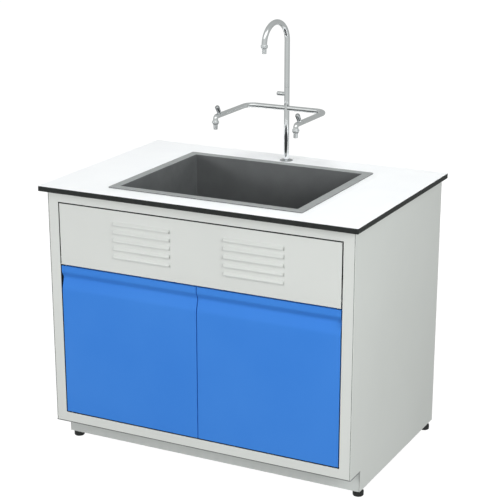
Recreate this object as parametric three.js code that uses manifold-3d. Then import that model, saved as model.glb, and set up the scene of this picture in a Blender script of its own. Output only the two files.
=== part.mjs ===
// Laboratory sink unit: a steel cabinet on levelling feet, a laminate worktop with an inset sink,
// and a tap with a swan-neck spout and two side outlets.
// Millimetres, +Z up, the front faces -Y, the origin is on the floor under the middle of the worktop.

import * as THREE from 'three';
import { mergeVertices } from 'three/addons/utils/BufferGeometryUtils.js';
import Module from 'manifold-3d';

const wasm = await Module();
wasm.setup();

// Worktop
const worktopWidth = 1100;
const worktopDepth = 750;
const worktopHeight = 900;
const coreThickness = 17;
const facingThickness = 1;
const worktopCornerRadius = 4;
const frontOverhang = 28;
const sideOverhang = 18;
const rearOverhang = 6;

// Cabinet shell, folded from steel sheet
const sheet = 1.5;
const seatGap = 0.2;
const sideFold = 6;
const toeHeight = 69;
const toeDepth = 77;
const frameDepth = 20;
const stileWidth = 31.8;
const topRailHeight = 34;
const bottomRailHeight = 34;
const bottomPanelFold = 25;
const bottomPanelSetdown = 7;
const plinthFold = 20;
const rearRailHeight = 34;
const rearRailDepth = 26;
const serviceWidth = 300;
const serviceHeight = 160;

// Vent panel and the rail behind its lower edge
const panelGap = 3;
const ventHeight = 204;
const ventHookHeight = 23;
const midRailHeight = 24;
const midRailDepth = 24;
const louvreWidth = 203;
const louvreHeight = 13.5;
const louvrePitch = 26.8;
const louvreCount = 5;
const louvreReach = 5.4;
const louvreTopMargin = 36.5;
const louvreGroupSpacing = 390;
const louvreGroupShift = 7;

// Doors
const doorThickness = 20;
const doorSplit = 4;
const lipHeight = 20;
const grooveHeight = 28;
const grooveClearance = 2;
const pivotInset = 15;
const pivotSetback = 8;
const pinRadius = 3;
const pinReach = 11;
const runningGap = 0.1;
const hingeBlockWidth = 27;
const catchWidth = 44;
const catchDepth = 17;
const catchHeight = 25;
const catchOffset = 45;

// Levelling feet
const footRadius = 17.5;
const footPadHeight = 19;
const footEdge = 4.4;
const footThreadShown = 5;
const footStemRadius = 5;
const footStemTop = 85;
const footSideInset = 16;
const frontFootSetback = 27;
const rearFootSetback = 33;
const bracketSize = 36;
const bracketHeight = 40;
const bracketWall = 2.5;

// Sink and waste
const bowlLength = 618;
const bowlDepth = 290;
const bowlFall = 12;
const bowlWall = 6;
const bowlCornerRadius = 8;
const rimWidth = 28;
const rimThickness = 4;
const rimCornerRadius = 5;
const sinkFrontMargin = 79;
const sinkToTap = 72;
const cutoutClearance = 2;
const strainerLip = 13;
const strainerFlange = 3;
const wasteRadius = 25;
const wasteWall = 3;
const wasteLength = 40;
const wasteNutWall = 11;
const wasteNutHeight = 12;
const strainerBar = 4;
const couplingWall = 6;
const couplingFloor = 2;
const couplingTaper = 13;
const pipeRadius = 20;
const pipeWall = 2.5;
const trapRadius = 36;
const trapWall = 4;
const trapBodyHeight = 60;
const trapCupHeight = 100;
const trapDrop = 92;
const dipClearance = 26;
const outletBossWall = 5;
const outletBossStand = 16;
const outletEndGap = 1;

// Tap
const tapSetback = 77;
const tapFlangeRadius = 22.5;
const tapFlangeHeight = 4;
const columnRadius = 9;
const spoutWall = 2.3;
const spigotWall = 2;
const swivelClearance = 0.2;
const shankLength = 75;
const tapHoleClearance = 0.6;
const washerRadius = 24;
const washerThickness = 3;
const tapNutRadius = 19;
const tapNutHeight = 11;
const tapNutSides = 6;
const swivelHeight = 250;
const spigotLength = 14;
const spoutRise = 155;
const spoutBend = 67;
const spoutTurn = -8;
const collarWall = 2.4;
const collarHeight = 14;
const collarOverlap = 10;
const collarOverBend = 3;
const collarChamfer = 2.8;
const collarTopEdge = 1.2;
const collarLip = 1.5;
const nozzleWall = 2;
const nozzleLength = 16;
const handleDrop = 24;
const mainHandleRadius = 7;
const mainHandleLength = 23;
const handleChamfer = 2;
const handleBossStand = 4;
const armDrop = 47;
const armRadius = 8.2;
const armSpread = 144.5;
const armBend = 34;
const armReach = 194;
const sideBodyLength = 30.5;
const sideElbowBend = 10;
const sideOutletDrop = 1.5;
const sideHandleOffset = 8.5;
const sideHandleLean = 35;
const sideBossRadius = 6.8;
const sideBossStand = 0.6;
const sideHandleLength = 25;
const sideHandleRadius = 8.2;
const sideHandleFootRadius = 7;
const sideHandleDome = 8.2;
const spindleRadius = 3;
const spindleLength = 5;
const touchGap = 0.3;

// Facets
const roundSides = 20;
const bendSteps = 18;
const smallBendSteps = 6;
const cornerSteps = 3;
const louvreSteps = 3;
const domeSteps = 3;
const weldTolerance = 1e-4;
const cutOver = 1;

// Levels and planes that several pieces share
const carcassHalf = worktopWidth / 2 - sideOverhang;
const innerHalf = carcassHalf - sideFold - seatGap;
const frontPlane = -worktopDepth / 2 + frontOverhang;
const backPlane = worktopDepth / 2 - rearOverhang;
const carcassTop = worktopHeight - coreThickness - facingThickness;
const floorClearance = footPadHeight + footThreadShown;
const frameBottom = floorClearance + toeHeight;
const openingBottom = frameBottom + bottomRailHeight;
const openingTop = carcassTop - topRailHeight;
const openingHalf = innerHalf - stileWidth;
const frameBack = frontPlane + frameDepth;
const plinthFront = frontPlane + toeDepth;
const backPanelFront = backPlane - sheet;
const bottomPanelTop = openingBottom - bottomPanelSetdown;
const ventTop = openingTop - panelGap;
const ventBottom = ventTop - ventHeight;
const doorBottom = openingBottom + panelGap;
const doorTop = ventBottom - panelGap;
const doorHalf = openingHalf - panelGap;
const pivotX = doorHalf - pivotInset;
const pivotY = frontPlane + pivotSetback;
const doorBack = frontPlane + doorThickness;
const doorRim = sheet + seatGap;
const grooveDepth = doorThickness - 2 * sheet - grooveClearance;
const hingeBlockHeight = lipHeight - 2 * doorRim;
const tapY = worktopDepth / 2 - tapSetback;
const bowlFront = frontPlane + sinkFrontMargin;
const bowlWidth = tapY - sinkToTap - bowlFront;
const sinkCentreY = bowlFront + bowlWidth / 2;
const bowlBottom = worktopHeight - bowlDepth - bowlFall - bowlWall;
const wasteBore = wasteRadius - wasteWall;
const trapOutletHeight = bowlBottom - trapDrop - trapBodyHeight / 2;
const spoutBore = columnRadius - spoutWall;
const spigotRadius = spoutBore - swivelClearance;
const columnBore = spigotRadius - spigotWall;
const spoutSpring = swivelHeight + spoutRise;
const collarRadius = columnRadius + touchGap + collarWall;
const nozzleRadius = collarRadius - collarChamfer - collarLip - seatGap;
const mainHandleHeight = swivelHeight - handleDrop;
const handleBossReach = columnRadius + handleBossStand;
const armHeight = mainHandleHeight - armDrop;
const handleLean = THREE.MathUtils.degToRad(sideHandleLean);
const handleFootDip = sideHandleFootRadius * Math.sin(handleLean);
const sideBossReach = (armRadius + sideBossStand + handleFootDip) / Math.cos(handleLean);

// Finishes
const paint = { color: 0xd2d3d0, roughness: 0.5, metalness: 0 };
const blue = { color: 0x4183da, roughness: 0.45, metalness: 0 };
const laminate = { color: 0xf2f4f6, roughness: 0.35, metalness: 0 };
const core = { color: 0x343635, roughness: 0.5, metalness: 0 };
const sinkGrey = { color: 0x8c8e8c, roughness: 0.6, metalness: 0 };
const chrome = { color: 0xc8cccc, roughness: 0.12, metalness: 1 };
const steel = { color: 0xa8abac, roughness: 0.3, metalness: 1 };
const blackPlastic = { color: 0x1c1d1d, roughness: 0.55, metalness: 0 };
const whitePlastic = { color: 0xe4e4e0, roughness: 0.45, metalness: 0 };

const unit = new THREE.Group();

// A closed solid from a three.js geometry: shared points are welded, empty triangles dropped.
function toSolid(geometry) {
  const bare = geometry.clone();
  bare.deleteAttribute('normal');
  bare.deleteAttribute('uv');
  const welded = mergeVertices(bare, weldTolerance);
  const index = welded.index.array;
  const kept = [];
  for (let i = 0; i < index.length; i += 3) {
    const [a, b, c] = [index[i], index[i + 1], index[i + 2]];
    if (a !== b && b !== c && c !== a) {
      kept.push(a, b, c);
    }
  }
  return new wasm.Manifold(new wasm.Mesh({
    numProp: 3,
    vertProperties: new Float32Array(welded.attributes.position.array),
    triVerts: new Uint32Array(kept),
  }));
}

function join(first, ...others) {
  return others.reduce((solid, other) => solid.add(other), first);
}

function cut(first, ...others) {
  return others.reduce((solid, other) => solid.subtract(other), first);
}

// One named sub-part, added to a group of the assembly.
function addPiece(parent, name, solid, finish) {
  const mesh = solid.getMesh();
  const geometry = new THREE.BufferGeometry();
  geometry.setAttribute('position', new THREE.BufferAttribute(new Float32Array(mesh.vertProperties), 3));
  geometry.setIndex(new THREE.BufferAttribute(new Uint32Array(mesh.triVerts), 1));
  geometry.computeVertexNormals();
  const piece = new THREE.Mesh(geometry, new THREE.MeshStandardMaterial(finish));
  piece.name = name;
  parent.add(piece);
}

function addGroup(parent, x, y, z) {
  const group = new THREE.Group();
  group.position.set(x, y, z);
  parent.add(group);
  return group;
}

// A box between two corners.
function block(low, high) {
  const [x0, y0, z0] = low;
  const [x1, y1, z1] = high;
  const geometry = new THREE.BoxGeometry(x1 - x0, y1 - y0, z1 - z0);
  geometry.translate((x0 + x1) / 2, (y0 + y1) / 2, (z0 + z1) / 2);
  return toSolid(geometry);
}

// A rod along Z between two heights.
function rod(radius, low, high, x = 0, y = 0, sides = roundSides) {
  const geometry = new THREE.CylinderGeometry(radius, radius, high - low, sides);
  geometry.rotateX(Math.PI / 2);
  geometry.translate(x, y, (low + high) / 2);
  return toSolid(geometry);
}

// A rod along X between two places.
function rodAlongX(radius, low, high, y, z) {
  const geometry = new THREE.CylinderGeometry(radius, radius, high - low, roundSides);
  geometry.rotateZ(-Math.PI / 2);
  geometry.translate((low + high) / 2, y, z);
  return toSolid(geometry);
}

// A rod along Y between two places.
function rodAlongY(radius, low, high, x, z) {
  const geometry = new THREE.CylinderGeometry(radius, radius, high - low, roundSides);
  geometry.translate(x, (low + high) / 2, z);
  return toSolid(geometry);
}

// A profile of [radius, height] points, going round counter-clockwise, turned about Z.
function turned(profile) {
  const points = profile.map(([radius, height]) => new THREE.Vector2(radius, height));
  const geometry = new THREE.LatheGeometry(points, roundSides);
  geometry.rotateX(Math.PI / 2);
  return toSolid(geometry);
}

// A ring about Z, as a closed profile.
function ring(outer, inner, low, high) {
  return turned([[inner, low], [outer, low], [outer, high], [inner, high], [inner, low]]);
}

// The profile of a dome from its rim to its top, as a quarter of an ellipse.
function domePoints(radius, low, top) {
  const points = [];
  for (let step = 0; step < domeSteps; step += 1) {
    const angle = (Math.PI / 2) * (step / domeSteps);
    points.push([radius * Math.cos(angle), low + (top - low) * Math.sin(angle)]);
  }
  return [...points, [0, top]];
}

function outline(points) {
  return new THREE.Shape(points.map(([a, b]) => new THREE.Vector2(a, b)));
}

function rectangle(low, high) {
  return outline([[low[0], low[1]], [high[0], low[1]], [high[0], high[1]], [low[0], high[1]]]);
}

function roundedRectangle(width, depth, radius) {
  const x = width / 2;
  const y = depth / 2;
  const shape = new THREE.Shape();
  shape.moveTo(-x + radius, -y);
  shape.lineTo(x - radius, -y);
  shape.absarc(x - radius, -y + radius, radius, -Math.PI / 2, 0);
  shape.lineTo(x, y - radius);
  shape.absarc(x - radius, y - radius, radius, 0, Math.PI / 2);
  shape.lineTo(-x + radius, y);
  shape.absarc(-x + radius, y - radius, radius, Math.PI / 2, Math.PI);
  shape.lineTo(-x, -y + radius);
  shape.absarc(-x + radius, -y + radius, radius, Math.PI, Math.PI * 1.5);
  return shape;
}

function prism(shape, depth) {
  return new THREE.ExtrudeGeometry(shape, { depth, bevelEnabled: false, curveSegments: cornerSteps });
}

// An outline in (x, y), raised from one height to another.
function raised(shape, low, high) {
  const geometry = prism(shape, high - low);
  geometry.translate(0, 0, low);
  return toSolid(geometry);
}

// An outline in (y, z), carried along X.
function carriedAlongX(shape, low, high) {
  const geometry = prism(shape, high - low);
  const axes = [new THREE.Vector3(0, 1, 0), new THREE.Vector3(0, 0, 1), new THREE.Vector3(1, 0, 0)];
  geometry.applyMatrix4(new THREE.Matrix4().makeBasis(...axes));
  geometry.translate(low, 0, 0);
  return toSolid(geometry);
}

// An outline in (x, z), carried along Y.
function carriedAlongY(shape, low, high) {
  const geometry = prism(shape, high - low);
  const axes = [new THREE.Vector3(1, 0, 0), new THREE.Vector3(0, 0, 1), new THREE.Vector3(0, -1, 0)];
  geometry.applyMatrix4(new THREE.Matrix4().makeBasis(...axes));
  geometry.translate(0, high, 0);
  return toSolid(geometry);
}

// A pipe's centre line: straight runs and round bends, with a section wherever it starts or ends.
class PipeRoute extends THREE.Curve {
  constructor(start, direction) {
    super();
    this.stations = [{ point: start.clone(), tangent: direction.clone() }];
  }

  get last() {
    return this.stations[this.stations.length - 1];
  }

  straight(length) {
    const { point, tangent } = this.last;
    this.stations.push({ point: point.clone().addScaledVector(tangent, length), tangent: tangent.clone() });
    return this;
  }

  bend(radius, towards, angle, steps) {
    const { point, tangent } = this.last;
    const centre = point.clone().addScaledVector(towards, radius);
    for (let step = 1; step <= steps; step += 1) {
      const turn = (angle * step) / steps;
      const place = centre.clone().addScaledVector(towards, -radius * Math.cos(turn));
      place.addScaledVector(tangent, radius * Math.sin(turn));
      const heading = tangent.clone().multiplyScalar(Math.cos(turn));
      heading.addScaledVector(towards, Math.sin(turn));
      this.stations.push({ point: place, tangent: heading.normalize() });
    }
    return this;
  }

  at(share) {
    return this.stations[Math.round(share * (this.stations.length - 1))];
  }

  getPoint(share) {
    return this.at(share).point.clone();
  }

  getPointAt(share) {
    return this.getPoint(share);
  }

  getTangentAt(share) {
    return this.at(share).tangent.clone();
  }

  getSpacedPoints() {
    return this.stations.map((station) => station.point.clone());
  }
}

// A round bar, or with a bore a pipe, along a route.
function pipeAlong(route, radius, bore = 0) {
  const shape = new THREE.Shape();
  shape.absarc(0, 0, radius, 0, Math.PI * 2);
  if (bore > 0) {
    const hole = new THREE.Path();
    hole.absarc(0, 0, bore, 0, Math.PI * 2, true);
    shape.holes.push(hole);
  }
  const geometry = new THREE.ExtrudeGeometry(shape, {
    steps: route.stations.length - 1,
    curveSegments: roundSides / 2,
    extrudePath: route,
    bevelEnabled: false,
  });
  return toSolid(geometry);
}

// Side panels: shallow trays with a return all round and a toe notch at the front.
function sideOutline(inset) {
  const front = frontPlane + inset;
  const back = backPlane - inset;
  const top = carcassTop - inset;
  const bottom = floorClearance + inset;
  const toeBack = plinthFront + inset;
  const toeTop = frameBottom + inset;
  return outline([
    [toeBack, bottom], [back, bottom], [back, top], [front, top], [front, toeTop], [toeBack, toeTop],
  ]);
}

function addSidePanels() {
  for (const [side, name] of [[-1, 'left'], [1, 'right']]) {
    const outer = side * carcassHalf;
    const inner = side * (carcassHalf - sideFold);
    const skin = side * (carcassHalf - sheet);
    const tray = carriedAlongX(sideOutline(0), Math.min(outer, inner), Math.max(outer, inner));
    const open = inner - side * cutOver;
    const hollow = carriedAlongX(sideOutline(sheet), Math.min(open, skin), Math.max(open, skin));
    addPiece(unit, `side_panel_${name}`, cut(tray, hollow), paint);
  }
}

// Front frame: two stiles and two rails as one folded channel, open at the back.
function addFrontFrame() {
  const outer = rectangle([-innerHalf, frameBottom], [innerHalf, carcassTop]);
  outer.holes.push(rectangle([-openingHalf, openingBottom], [openingHalf, openingTop]));
  const inside = rectangle(
    [-innerHalf + sheet, frameBottom + sheet],
    [innerHalf - sheet, carcassTop - sheet],
  );
  inside.holes.push(rectangle(
    [-openingHalf - sheet, openingBottom - sheet],
    [openingHalf + sheet, openingTop + sheet],
  ));
  const channel = carriedAlongY(outer, frontPlane, frameBack);
  const hollow = carriedAlongY(inside, frontPlane + sheet, frameBack + cutOver);
  const pinHoles = [-pivotX, pivotX].map((x) => (
    rod(pinRadius + runningGap, openingBottom - sheet - cutOver, openingBottom + cutOver, x, pivotY)
  ));
  addPiece(unit, 'front_frame', cut(channel, hollow, ...pinHoles), paint);
}

// Mid rail: a channel between the stiles that carries the vent panel and the doors' upper pins.
function addMidRail() {
  const half = openingHalf - seatGap;
  const front = frontPlane + sheet + seatGap;
  const back = front + midRailDepth;
  const top = ventBottom + midRailHeight;
  const bar = block([-half, front, ventBottom], [half, back, top]);
  const hollow = block(
    [-half + sheet, front + sheet, ventBottom + sheet],
    [half - sheet, back + cutOver, top - sheet],
  );
  const pinHoles = [-pivotX, pivotX].map((x) => (
    rod(pinRadius + runningGap, ventBottom - cutOver, ventBottom + sheet + cutOver, x, pivotY)
  ));
  addPiece(unit, 'mid_rail', cut(bar, hollow, ...pinHoles), paint);
}

// The section of a pressed louvre in (y, z): a quarter of an ellipse that bows out of the panel
// from its top edge and is open underneath. The back is where the section closes behind the panel.
function louvreProfile(top, bottom, reach, back) {
  const points = [[back, bottom], [back, top]];
  for (let step = 0; step <= louvreSteps; step += 1) {
    const angle = (Math.PI / 2) * (step / louvreSteps);
    points.push([frontPlane - reach * Math.sin(angle), bottom + (top - bottom) * Math.cos(angle)]);
  }
  return outline(points);
}

// Vent panel: a sheet with two groups of louvres, hooked over the back of the top rail.
function addVentPanel() {
  const face = block([-doorHalf, frontPlane, ventBottom], [doorHalf, frontPlane + sheet, ventTop]);
  const hookFront = frameBack + seatGap;
  const hookBack = hookFront + sheet;
  const ledge = block([-doorHalf, frontPlane, ventTop - sheet], [doorHalf, hookBack, ventTop]);
  const hook = block([-doorHalf, hookFront, ventTop - sheet], [doorHalf, hookBack, ventTop + ventHookHeight]);
  let panel = join(face, ledge, hook);
  const firstTop = ventTop - louvreTopMargin;
  for (const side of [-1, 1]) {
    const left = (side * louvreGroupSpacing) / 2 + louvreGroupShift - louvreWidth / 2;
    const right = left + louvreWidth;
    for (let row = 0; row < louvreCount; row += 1) {
      const top = firstTop - row * louvrePitch;
      const bottom = top - louvreHeight;
      const hoodBack = frontPlane + sheet;
      const slotBack = hoodBack + cutOver;
      const hood = louvreProfile(top, bottom, louvreReach, hoodBack);
      const slot = louvreProfile(top - sheet, bottom - cutOver, louvreReach - sheet, slotBack);
      panel = join(panel, carriedAlongX(hood, left, right));
      panel = cut(panel, carriedAlongX(slot, left + sheet, right - sheet));
    }
  }
  addPiece(unit, 'vent_panel', panel, paint);
}

// Bottom panel: a tray turned upside down between the side panels.
function addBottomPanel() {
  const front = frameBack + seatGap;
  const back = backPanelFront - seatGap;
  const low = bottomPanelTop - bottomPanelFold;
  const tray = block([-innerHalf, front, low], [innerHalf, back, bottomPanelTop]);
  const hollow = block(
    [-innerHalf + sheet, front + sheet, low - cutOver],
    [innerHalf - sheet, back - sheet, bottomPanelTop - sheet],
  );
  addPiece(unit, 'bottom_panel', cut(tray, hollow), paint);
}

// Plinth: the toe board, folded back at the top where it is fixed under the bottom panel.
function addPlinth() {
  const half = innerHalf - sheet - seatGap;
  const top = bottomPanelTop - sheet - seatGap;
  const board = block([-half, plinthFront, floorClearance], [half, plinthFront + sheet, top]);
  const fold = block([-half, plinthFront, top - sheet], [half, plinthFront + plinthFold, top]);
  const earTop = bottomPanelTop - bottomPanelFold - seatGap;
  const ears = [-1, 1].map((side) => block(
    [Math.min(side * half, side * innerHalf), plinthFront, floorClearance],
    [Math.max(side * half, side * innerHalf), plinthFront + sheet, earTop],
  ));
  addPiece(unit, 'plinth', join(board, fold, ...ears), paint);
}

// Back panel with its service cut-out, and the rail that carries the worktop's rear edge.
function addBack() {
  const low = bottomPanelTop - bottomPanelFold;
  const panel = block([-innerHalf, backPanelFront, low], [innerHalf, backPlane, carcassTop]);
  const service = block(
    [-serviceWidth / 2, backPanelFront - cutOver, trapOutletHeight - serviceHeight / 2],
    [serviceWidth / 2, backPlane + cutOver, trapOutletHeight + serviceHeight / 2],
  );
  addPiece(unit, 'back_panel', cut(panel, service), paint);

  const back = backPanelFront - seatGap;
  const front = back - rearRailDepth;
  const bottom = carcassTop - rearRailHeight;
  const bar = block([-innerHalf, front, bottom], [innerHalf, back, carcassTop]);
  const hollow = block(
    [-innerHalf + sheet, front - cutOver, bottom + sheet],
    [innerHalf - sheet, back - sheet, carcassTop - sheet],
  );
  addPiece(unit, 'rear_rail', cut(bar, hollow), paint);
}

// Levelling feet: a pad on a threaded stem, screwed up through a bracket inside each corner.
function addFeet() {
  const footX = carcassHalf - footSideInset;
  const rows = [['front', plinthFront + frontFootSetback], ['rear', backPlane - rearFootSetback]];
  for (const [row, y] of rows) {
    for (const [side, name] of [[-1, 'left'], [1, 'right']]) {
      const seat = addGroup(unit, side * footX, y, 0);
      addPiece(seat, `foot_${row}_${name}`, turned([
        [0, 0], [footRadius - footEdge, 0], [footRadius, footEdge], [footRadius, footPadHeight - footEdge],
        [footRadius - footEdge, footPadHeight], [footStemRadius, footPadHeight],
        [footStemRadius, footStemTop], [0, footStemTop],
      ]), blackPlastic);

      const low = floorClearance + sheet + seatGap;
      const outer = side * (footSideInset - sheet - seatGap);
      const inner = outer - side * bracketSize;
      const left = Math.min(outer, inner);
      const right = Math.max(outer, inner);
      const box = block([left, -bracketSize / 2, low], [right, bracketSize / 2, low + bracketHeight]);
      const hollow = block(
        [left + bracketWall, -bracketSize / 2 + bracketWall, low + bracketWall],
        [right - bracketWall, bracketSize / 2 - bracketWall, low + bracketHeight + cutOver],
      );
      const thread = rod(footStemRadius + runningGap, low - cutOver, low + bracketWall + cutOver);
      addPiece(seat, `foot_bracket_${row}_${name}`, cut(box, hollow, thread), steel);
    }
  }
}

// Worktop: a compact core and its white facing, both cut out for the sink and the tap.
function addWorktop() {
  const coreLow = carcassTop;
  const facingLow = coreLow + coreThickness;
  const slabs = [
    ['worktop_core', coreLow, facingLow, core],
    ['worktop_facing', facingLow, worktopHeight, laminate],
  ];
  const cutoutLength = bowlLength + 2 * (bowlWall + cutoutClearance);
  const cutoutWidth = bowlWidth + 2 * (bowlWall + cutoutClearance);
  for (const [name, low, high, finish] of slabs) {
    const slab = raised(roundedRectangle(worktopWidth, worktopDepth, worktopCornerRadius), low, high);
    const sinkHole = block(
      [-cutoutLength / 2, sinkCentreY - cutoutWidth / 2, low - cutOver],
      [cutoutLength / 2, sinkCentreY + cutoutWidth / 2, high + cutOver],
    );
    const tapHole = rod(columnRadius + tapHoleClearance, low - cutOver, high + cutOver, 0, tapY);
    addPiece(unit, name, cut(slab, sinkHole, tapHole), finish);
  }
}

// The outline of a door in (y, z): a lip, an undercut and a slope that make the finger pull.
function doorOutline() {
  const lipBottom = doorTop - lipHeight;
  const grooveBottom = lipBottom - grooveHeight;
  return outline([
    [frontPlane, doorBottom], [doorBack, doorBottom], [doorBack, doorTop], [frontPlane, doorTop],
    [frontPlane, lipBottom], [frontPlane + grooveDepth, lipBottom], [frontPlane, grooveBottom],
  ]);
}

// The hollow behind the door's skin, one sheet thickness in from the outline and open at the back.
function doorHollow() {
  const lipBottom = doorTop - lipHeight;
  const grooveBottom = lipBottom - grooveHeight;
  const slope = grooveHeight / grooveDepth;
  const shift = sheet * Math.hypot(1, slope);
  const front = frontPlane + sheet;
  const ridge = front + grooveDepth;
  const open = doorBack + cutOver;
  const slopeFoot = grooveBottom + slope * sheet - shift;
  const slopeHead = grooveBottom + slope * (grooveDepth + sheet) - shift;
  return outline([
    [front, doorBottom + sheet], [open, doorBottom + sheet],
    [open, doorTop - sheet], [front, doorTop - sheet],
    [front, lipBottom + sheet], [ridge, lipBottom + sheet],
    [ridge, slopeHead], [front, slopeFoot],
  ]);
}

// Doors: a folded skin, a liner sheet, and pivot blocks that turn on pins in the rails.
function addDoors() {
  const leaves = [
    ['left', -1, -doorHalf, doorSplit - panelGap / 2],
    ['right', 1, doorSplit + panelGap / 2, doorHalf],
  ];
  for (const [name, side, left, right] of leaves) {
    const pinX = side * pivotX;
    const pinHole = rod(
      pinRadius + runningGap + seatGap,
      doorBottom - cutOver,
      doorBottom + sheet + cutOver,
      pinX,
      pivotY,
    );
    const upperHole = rod(
      pinRadius + runningGap + seatGap,
      doorTop - sheet - cutOver,
      doorTop + cutOver,
      pinX,
      pivotY,
    );
    const shell = carriedAlongX(doorOutline(), left, right);
    const hollow = carriedAlongX(doorHollow(), left + sheet, right - sheet);
    addPiece(unit, `door_skin_${name}`, cut(shell, hollow, pinHole, upperHole), blue);

    addPiece(unit, `door_liner_${name}`, block(
      [left + doorRim, doorBack - sheet, doorBottom + doorRim],
      [right - doorRim, doorBack, doorTop - doorRim],
    ), blue);

    const hinged = side * (doorHalf - doorRim);
    const blockEnds = [hinged, hinged - side * hingeBlockWidth];
    const blockLows = [['bottom', doorBottom + doorRim], ['top', doorTop - doorRim - hingeBlockHeight]];
    for (const [end, low] of blockLows) {
      const high = low + hingeBlockHeight;
      const body = block(
        [Math.min(...blockEnds), frontPlane + doorRim, low],
        [Math.max(...blockEnds), doorBack - doorRim, high],
      );
      const bearing = rod(pinRadius + runningGap, low - cutOver, high + cutOver, pinX, pivotY);
      addPiece(unit, `hinge_block_${name}_${end}`, cut(body, bearing), whitePlastic);
    }

    const lower = rod(pinRadius, openingBottom - pinReach, doorBottom + pinReach, pinX, pivotY);
    const upper = rod(pinRadius, doorTop - pinReach, ventBottom + pinReach, pinX, pivotY);
    addPiece(unit, `pivot_pin_${name}_bottom`, lower, steel);
    addPiece(unit, `pivot_pin_${name}_top`, upper, steel);

    const catchX = doorSplit + side * catchOffset;
    const catchTop = ventBottom - seatGap;
    addPiece(unit, `door_catch_${name}`, block(
      [catchX - catchWidth / 2, doorBack + seatGap, catchTop - catchHeight],
      [catchX + catchWidth / 2, doorBack + seatGap + catchDepth, catchTop],
    ), whitePlastic);
  }
}

// Sink: a moulded bowl hung by its rim, with a floor that falls to the waste.
function addSink() {
  const sink = addGroup(unit, 0, sinkCentreY, worktopHeight);
  const bottom = -(bowlDepth + bowlFall + bowlWall);
  const rim = raised(
    roundedRectangle(bowlLength + 2 * rimWidth, bowlWidth + 2 * rimWidth, rimCornerRadius),
    0,
    rimThickness,
  );
  const tub = raised(
    roundedRectangle(bowlLength + 2 * bowlWall, bowlWidth + 2 * bowlWall, bowlCornerRadius + bowlWall),
    bottom,
    rimThickness,
  );
  const inside = raised(
    roundedRectangle(bowlLength, bowlWidth, bowlCornerRadius),
    -bowlDepth,
    rimThickness + cutOver,
  );
  // The fall is an upside-down pyramid: a cone of four sides, one unit wide, stretched over the floor.
  const fall = new THREE.CylinderGeometry(Math.SQRT1_2, 0, 1, 4, 1, false, Math.PI / 4);
  fall.rotateX(Math.PI / 2);
  fall.scale(bowlLength - 2 * bowlCornerRadius, bowlWidth - 2 * bowlCornerRadius, bowlFall);
  fall.translate(0, 0, -bowlDepth - bowlFall / 2);
  const strainerRadius = wasteRadius + strainerLip;
  const seat = rod(strainerRadius + seatGap, -bowlDepth - bowlFall, -bowlDepth + cutOver);
  const outlet = rod(wasteRadius + seatGap, bottom - cutOver, -bowlDepth);
  addPiece(sink, 'sink_bowl', cut(join(rim, tub), inside, toSolid(fall), seat, outlet), sinkGrey);

  const flangeLow = -bowlDepth - bowlFall + seatGap;
  const flangeTop = flangeLow + strainerFlange;
  const throat = turned([
    [wasteBore, bottom - wasteLength], [wasteRadius, bottom - wasteLength], [wasteRadius, flangeLow],
    [strainerRadius, flangeLow], [strainerRadius, flangeTop], [wasteBore, flangeTop],
    [wasteBore, bottom - wasteLength],
  ]);
  const reach = wasteBore + wasteWall / 2;
  const bars = [[reach, strainerBar / 2], [strainerBar / 2, reach]].map(([x, y]) => (
    block([-x, -y, flangeLow], [x, y, flangeTop])
  ));
  addPiece(sink, 'waste_strainer', join(throat, ...bars), steel);
  const nutTop = bottom - seatGap;
  const nutLow = nutTop - wasteNutHeight;
  const nut = ring(wasteRadius + wasteNutWall, wasteRadius + seatGap, nutLow, nutTop);
  addPiece(sink, 'waste_nut', nut, whitePlastic);
}

// Bottle trap: tail pipe with its coupling, body with a side outlet, cup, and the pipe to the wall.
function addTrap() {
  const trap = addGroup(unit, 0, sinkCentreY, bowlBottom);
  const bodyTop = -trapDrop;
  const bodyLow = bodyTop - trapBodyHeight;
  const cupTop = bodyLow - seatGap;
  const cupLow = cupTop - trapCupHeight;
  const pipeLow = cupLow + trapWall + dipClearance;
  const pipeBore = pipeRadius - pipeWall;
  const shoulder = -wasteLength - seatGap;
  const couplingTop = -wasteNutHeight - 2 * seatGap;
  const couplingLow = shoulder - couplingFloor;
  const couplingRadius = wasteRadius + couplingWall;
  addPiece(trap, 'trap_tail_pipe', turned([
    [pipeBore, pipeLow], [pipeRadius, pipeLow], [pipeRadius, couplingLow - couplingTaper],
    [couplingRadius, couplingLow], [couplingRadius, couplingTop],
    [wasteRadius + seatGap, couplingTop], [wasteRadius + seatGap, shoulder], [pipeBore, shoulder],
    [pipeBore, pipeLow],
  ]), whitePlastic);

  const outletZ = trapOutletHeight - bowlBottom;
  const bossEnd = trapRadius + outletBossStand;
  const bossBore = rodAlongY(pipeRadius + seatGap, trapRadius - 2 * trapWall, bossEnd + cutOver, 0, outletZ);
  const boss = rodAlongY(pipeRadius + outletBossWall, 0, bossEnd, 0, outletZ);
  const chamber = rod(trapRadius - trapWall, bodyLow - cutOver, bodyTop - trapWall);
  const neck = rod(pipeRadius + seatGap, bodyTop - trapWall - cutOver, bodyTop + cutOver);
  const body = join(rod(trapRadius, bodyLow, bodyTop), boss);
  addPiece(trap, 'trap_body', cut(body, chamber, neck, bossBore), whitePlastic);

  addPiece(trap, 'trap_cup', turned([
    [0, cupLow], [trapRadius - trapWall, cupLow], [trapRadius, cupLow + trapWall], [trapRadius, cupTop],
    [trapRadius - trapWall, cupTop], [trapRadius - trapWall, cupLow + trapWall], [0, cupLow + trapWall],
  ]), whitePlastic);

  const pipeStart = trapRadius;
  const pipeEnd = worktopDepth / 2 - outletEndGap - sinkCentreY;
  const wallPipe = rodAlongY(pipeRadius, pipeStart, pipeEnd, 0, outletZ);
  const wallBore = rodAlongY(pipeBore, pipeStart - cutOver, pipeEnd + cutOver, 0, outletZ);
  addPiece(trap, 'trap_outlet_pipe', cut(wallPipe, wallBore), whitePlastic);
}

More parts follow.
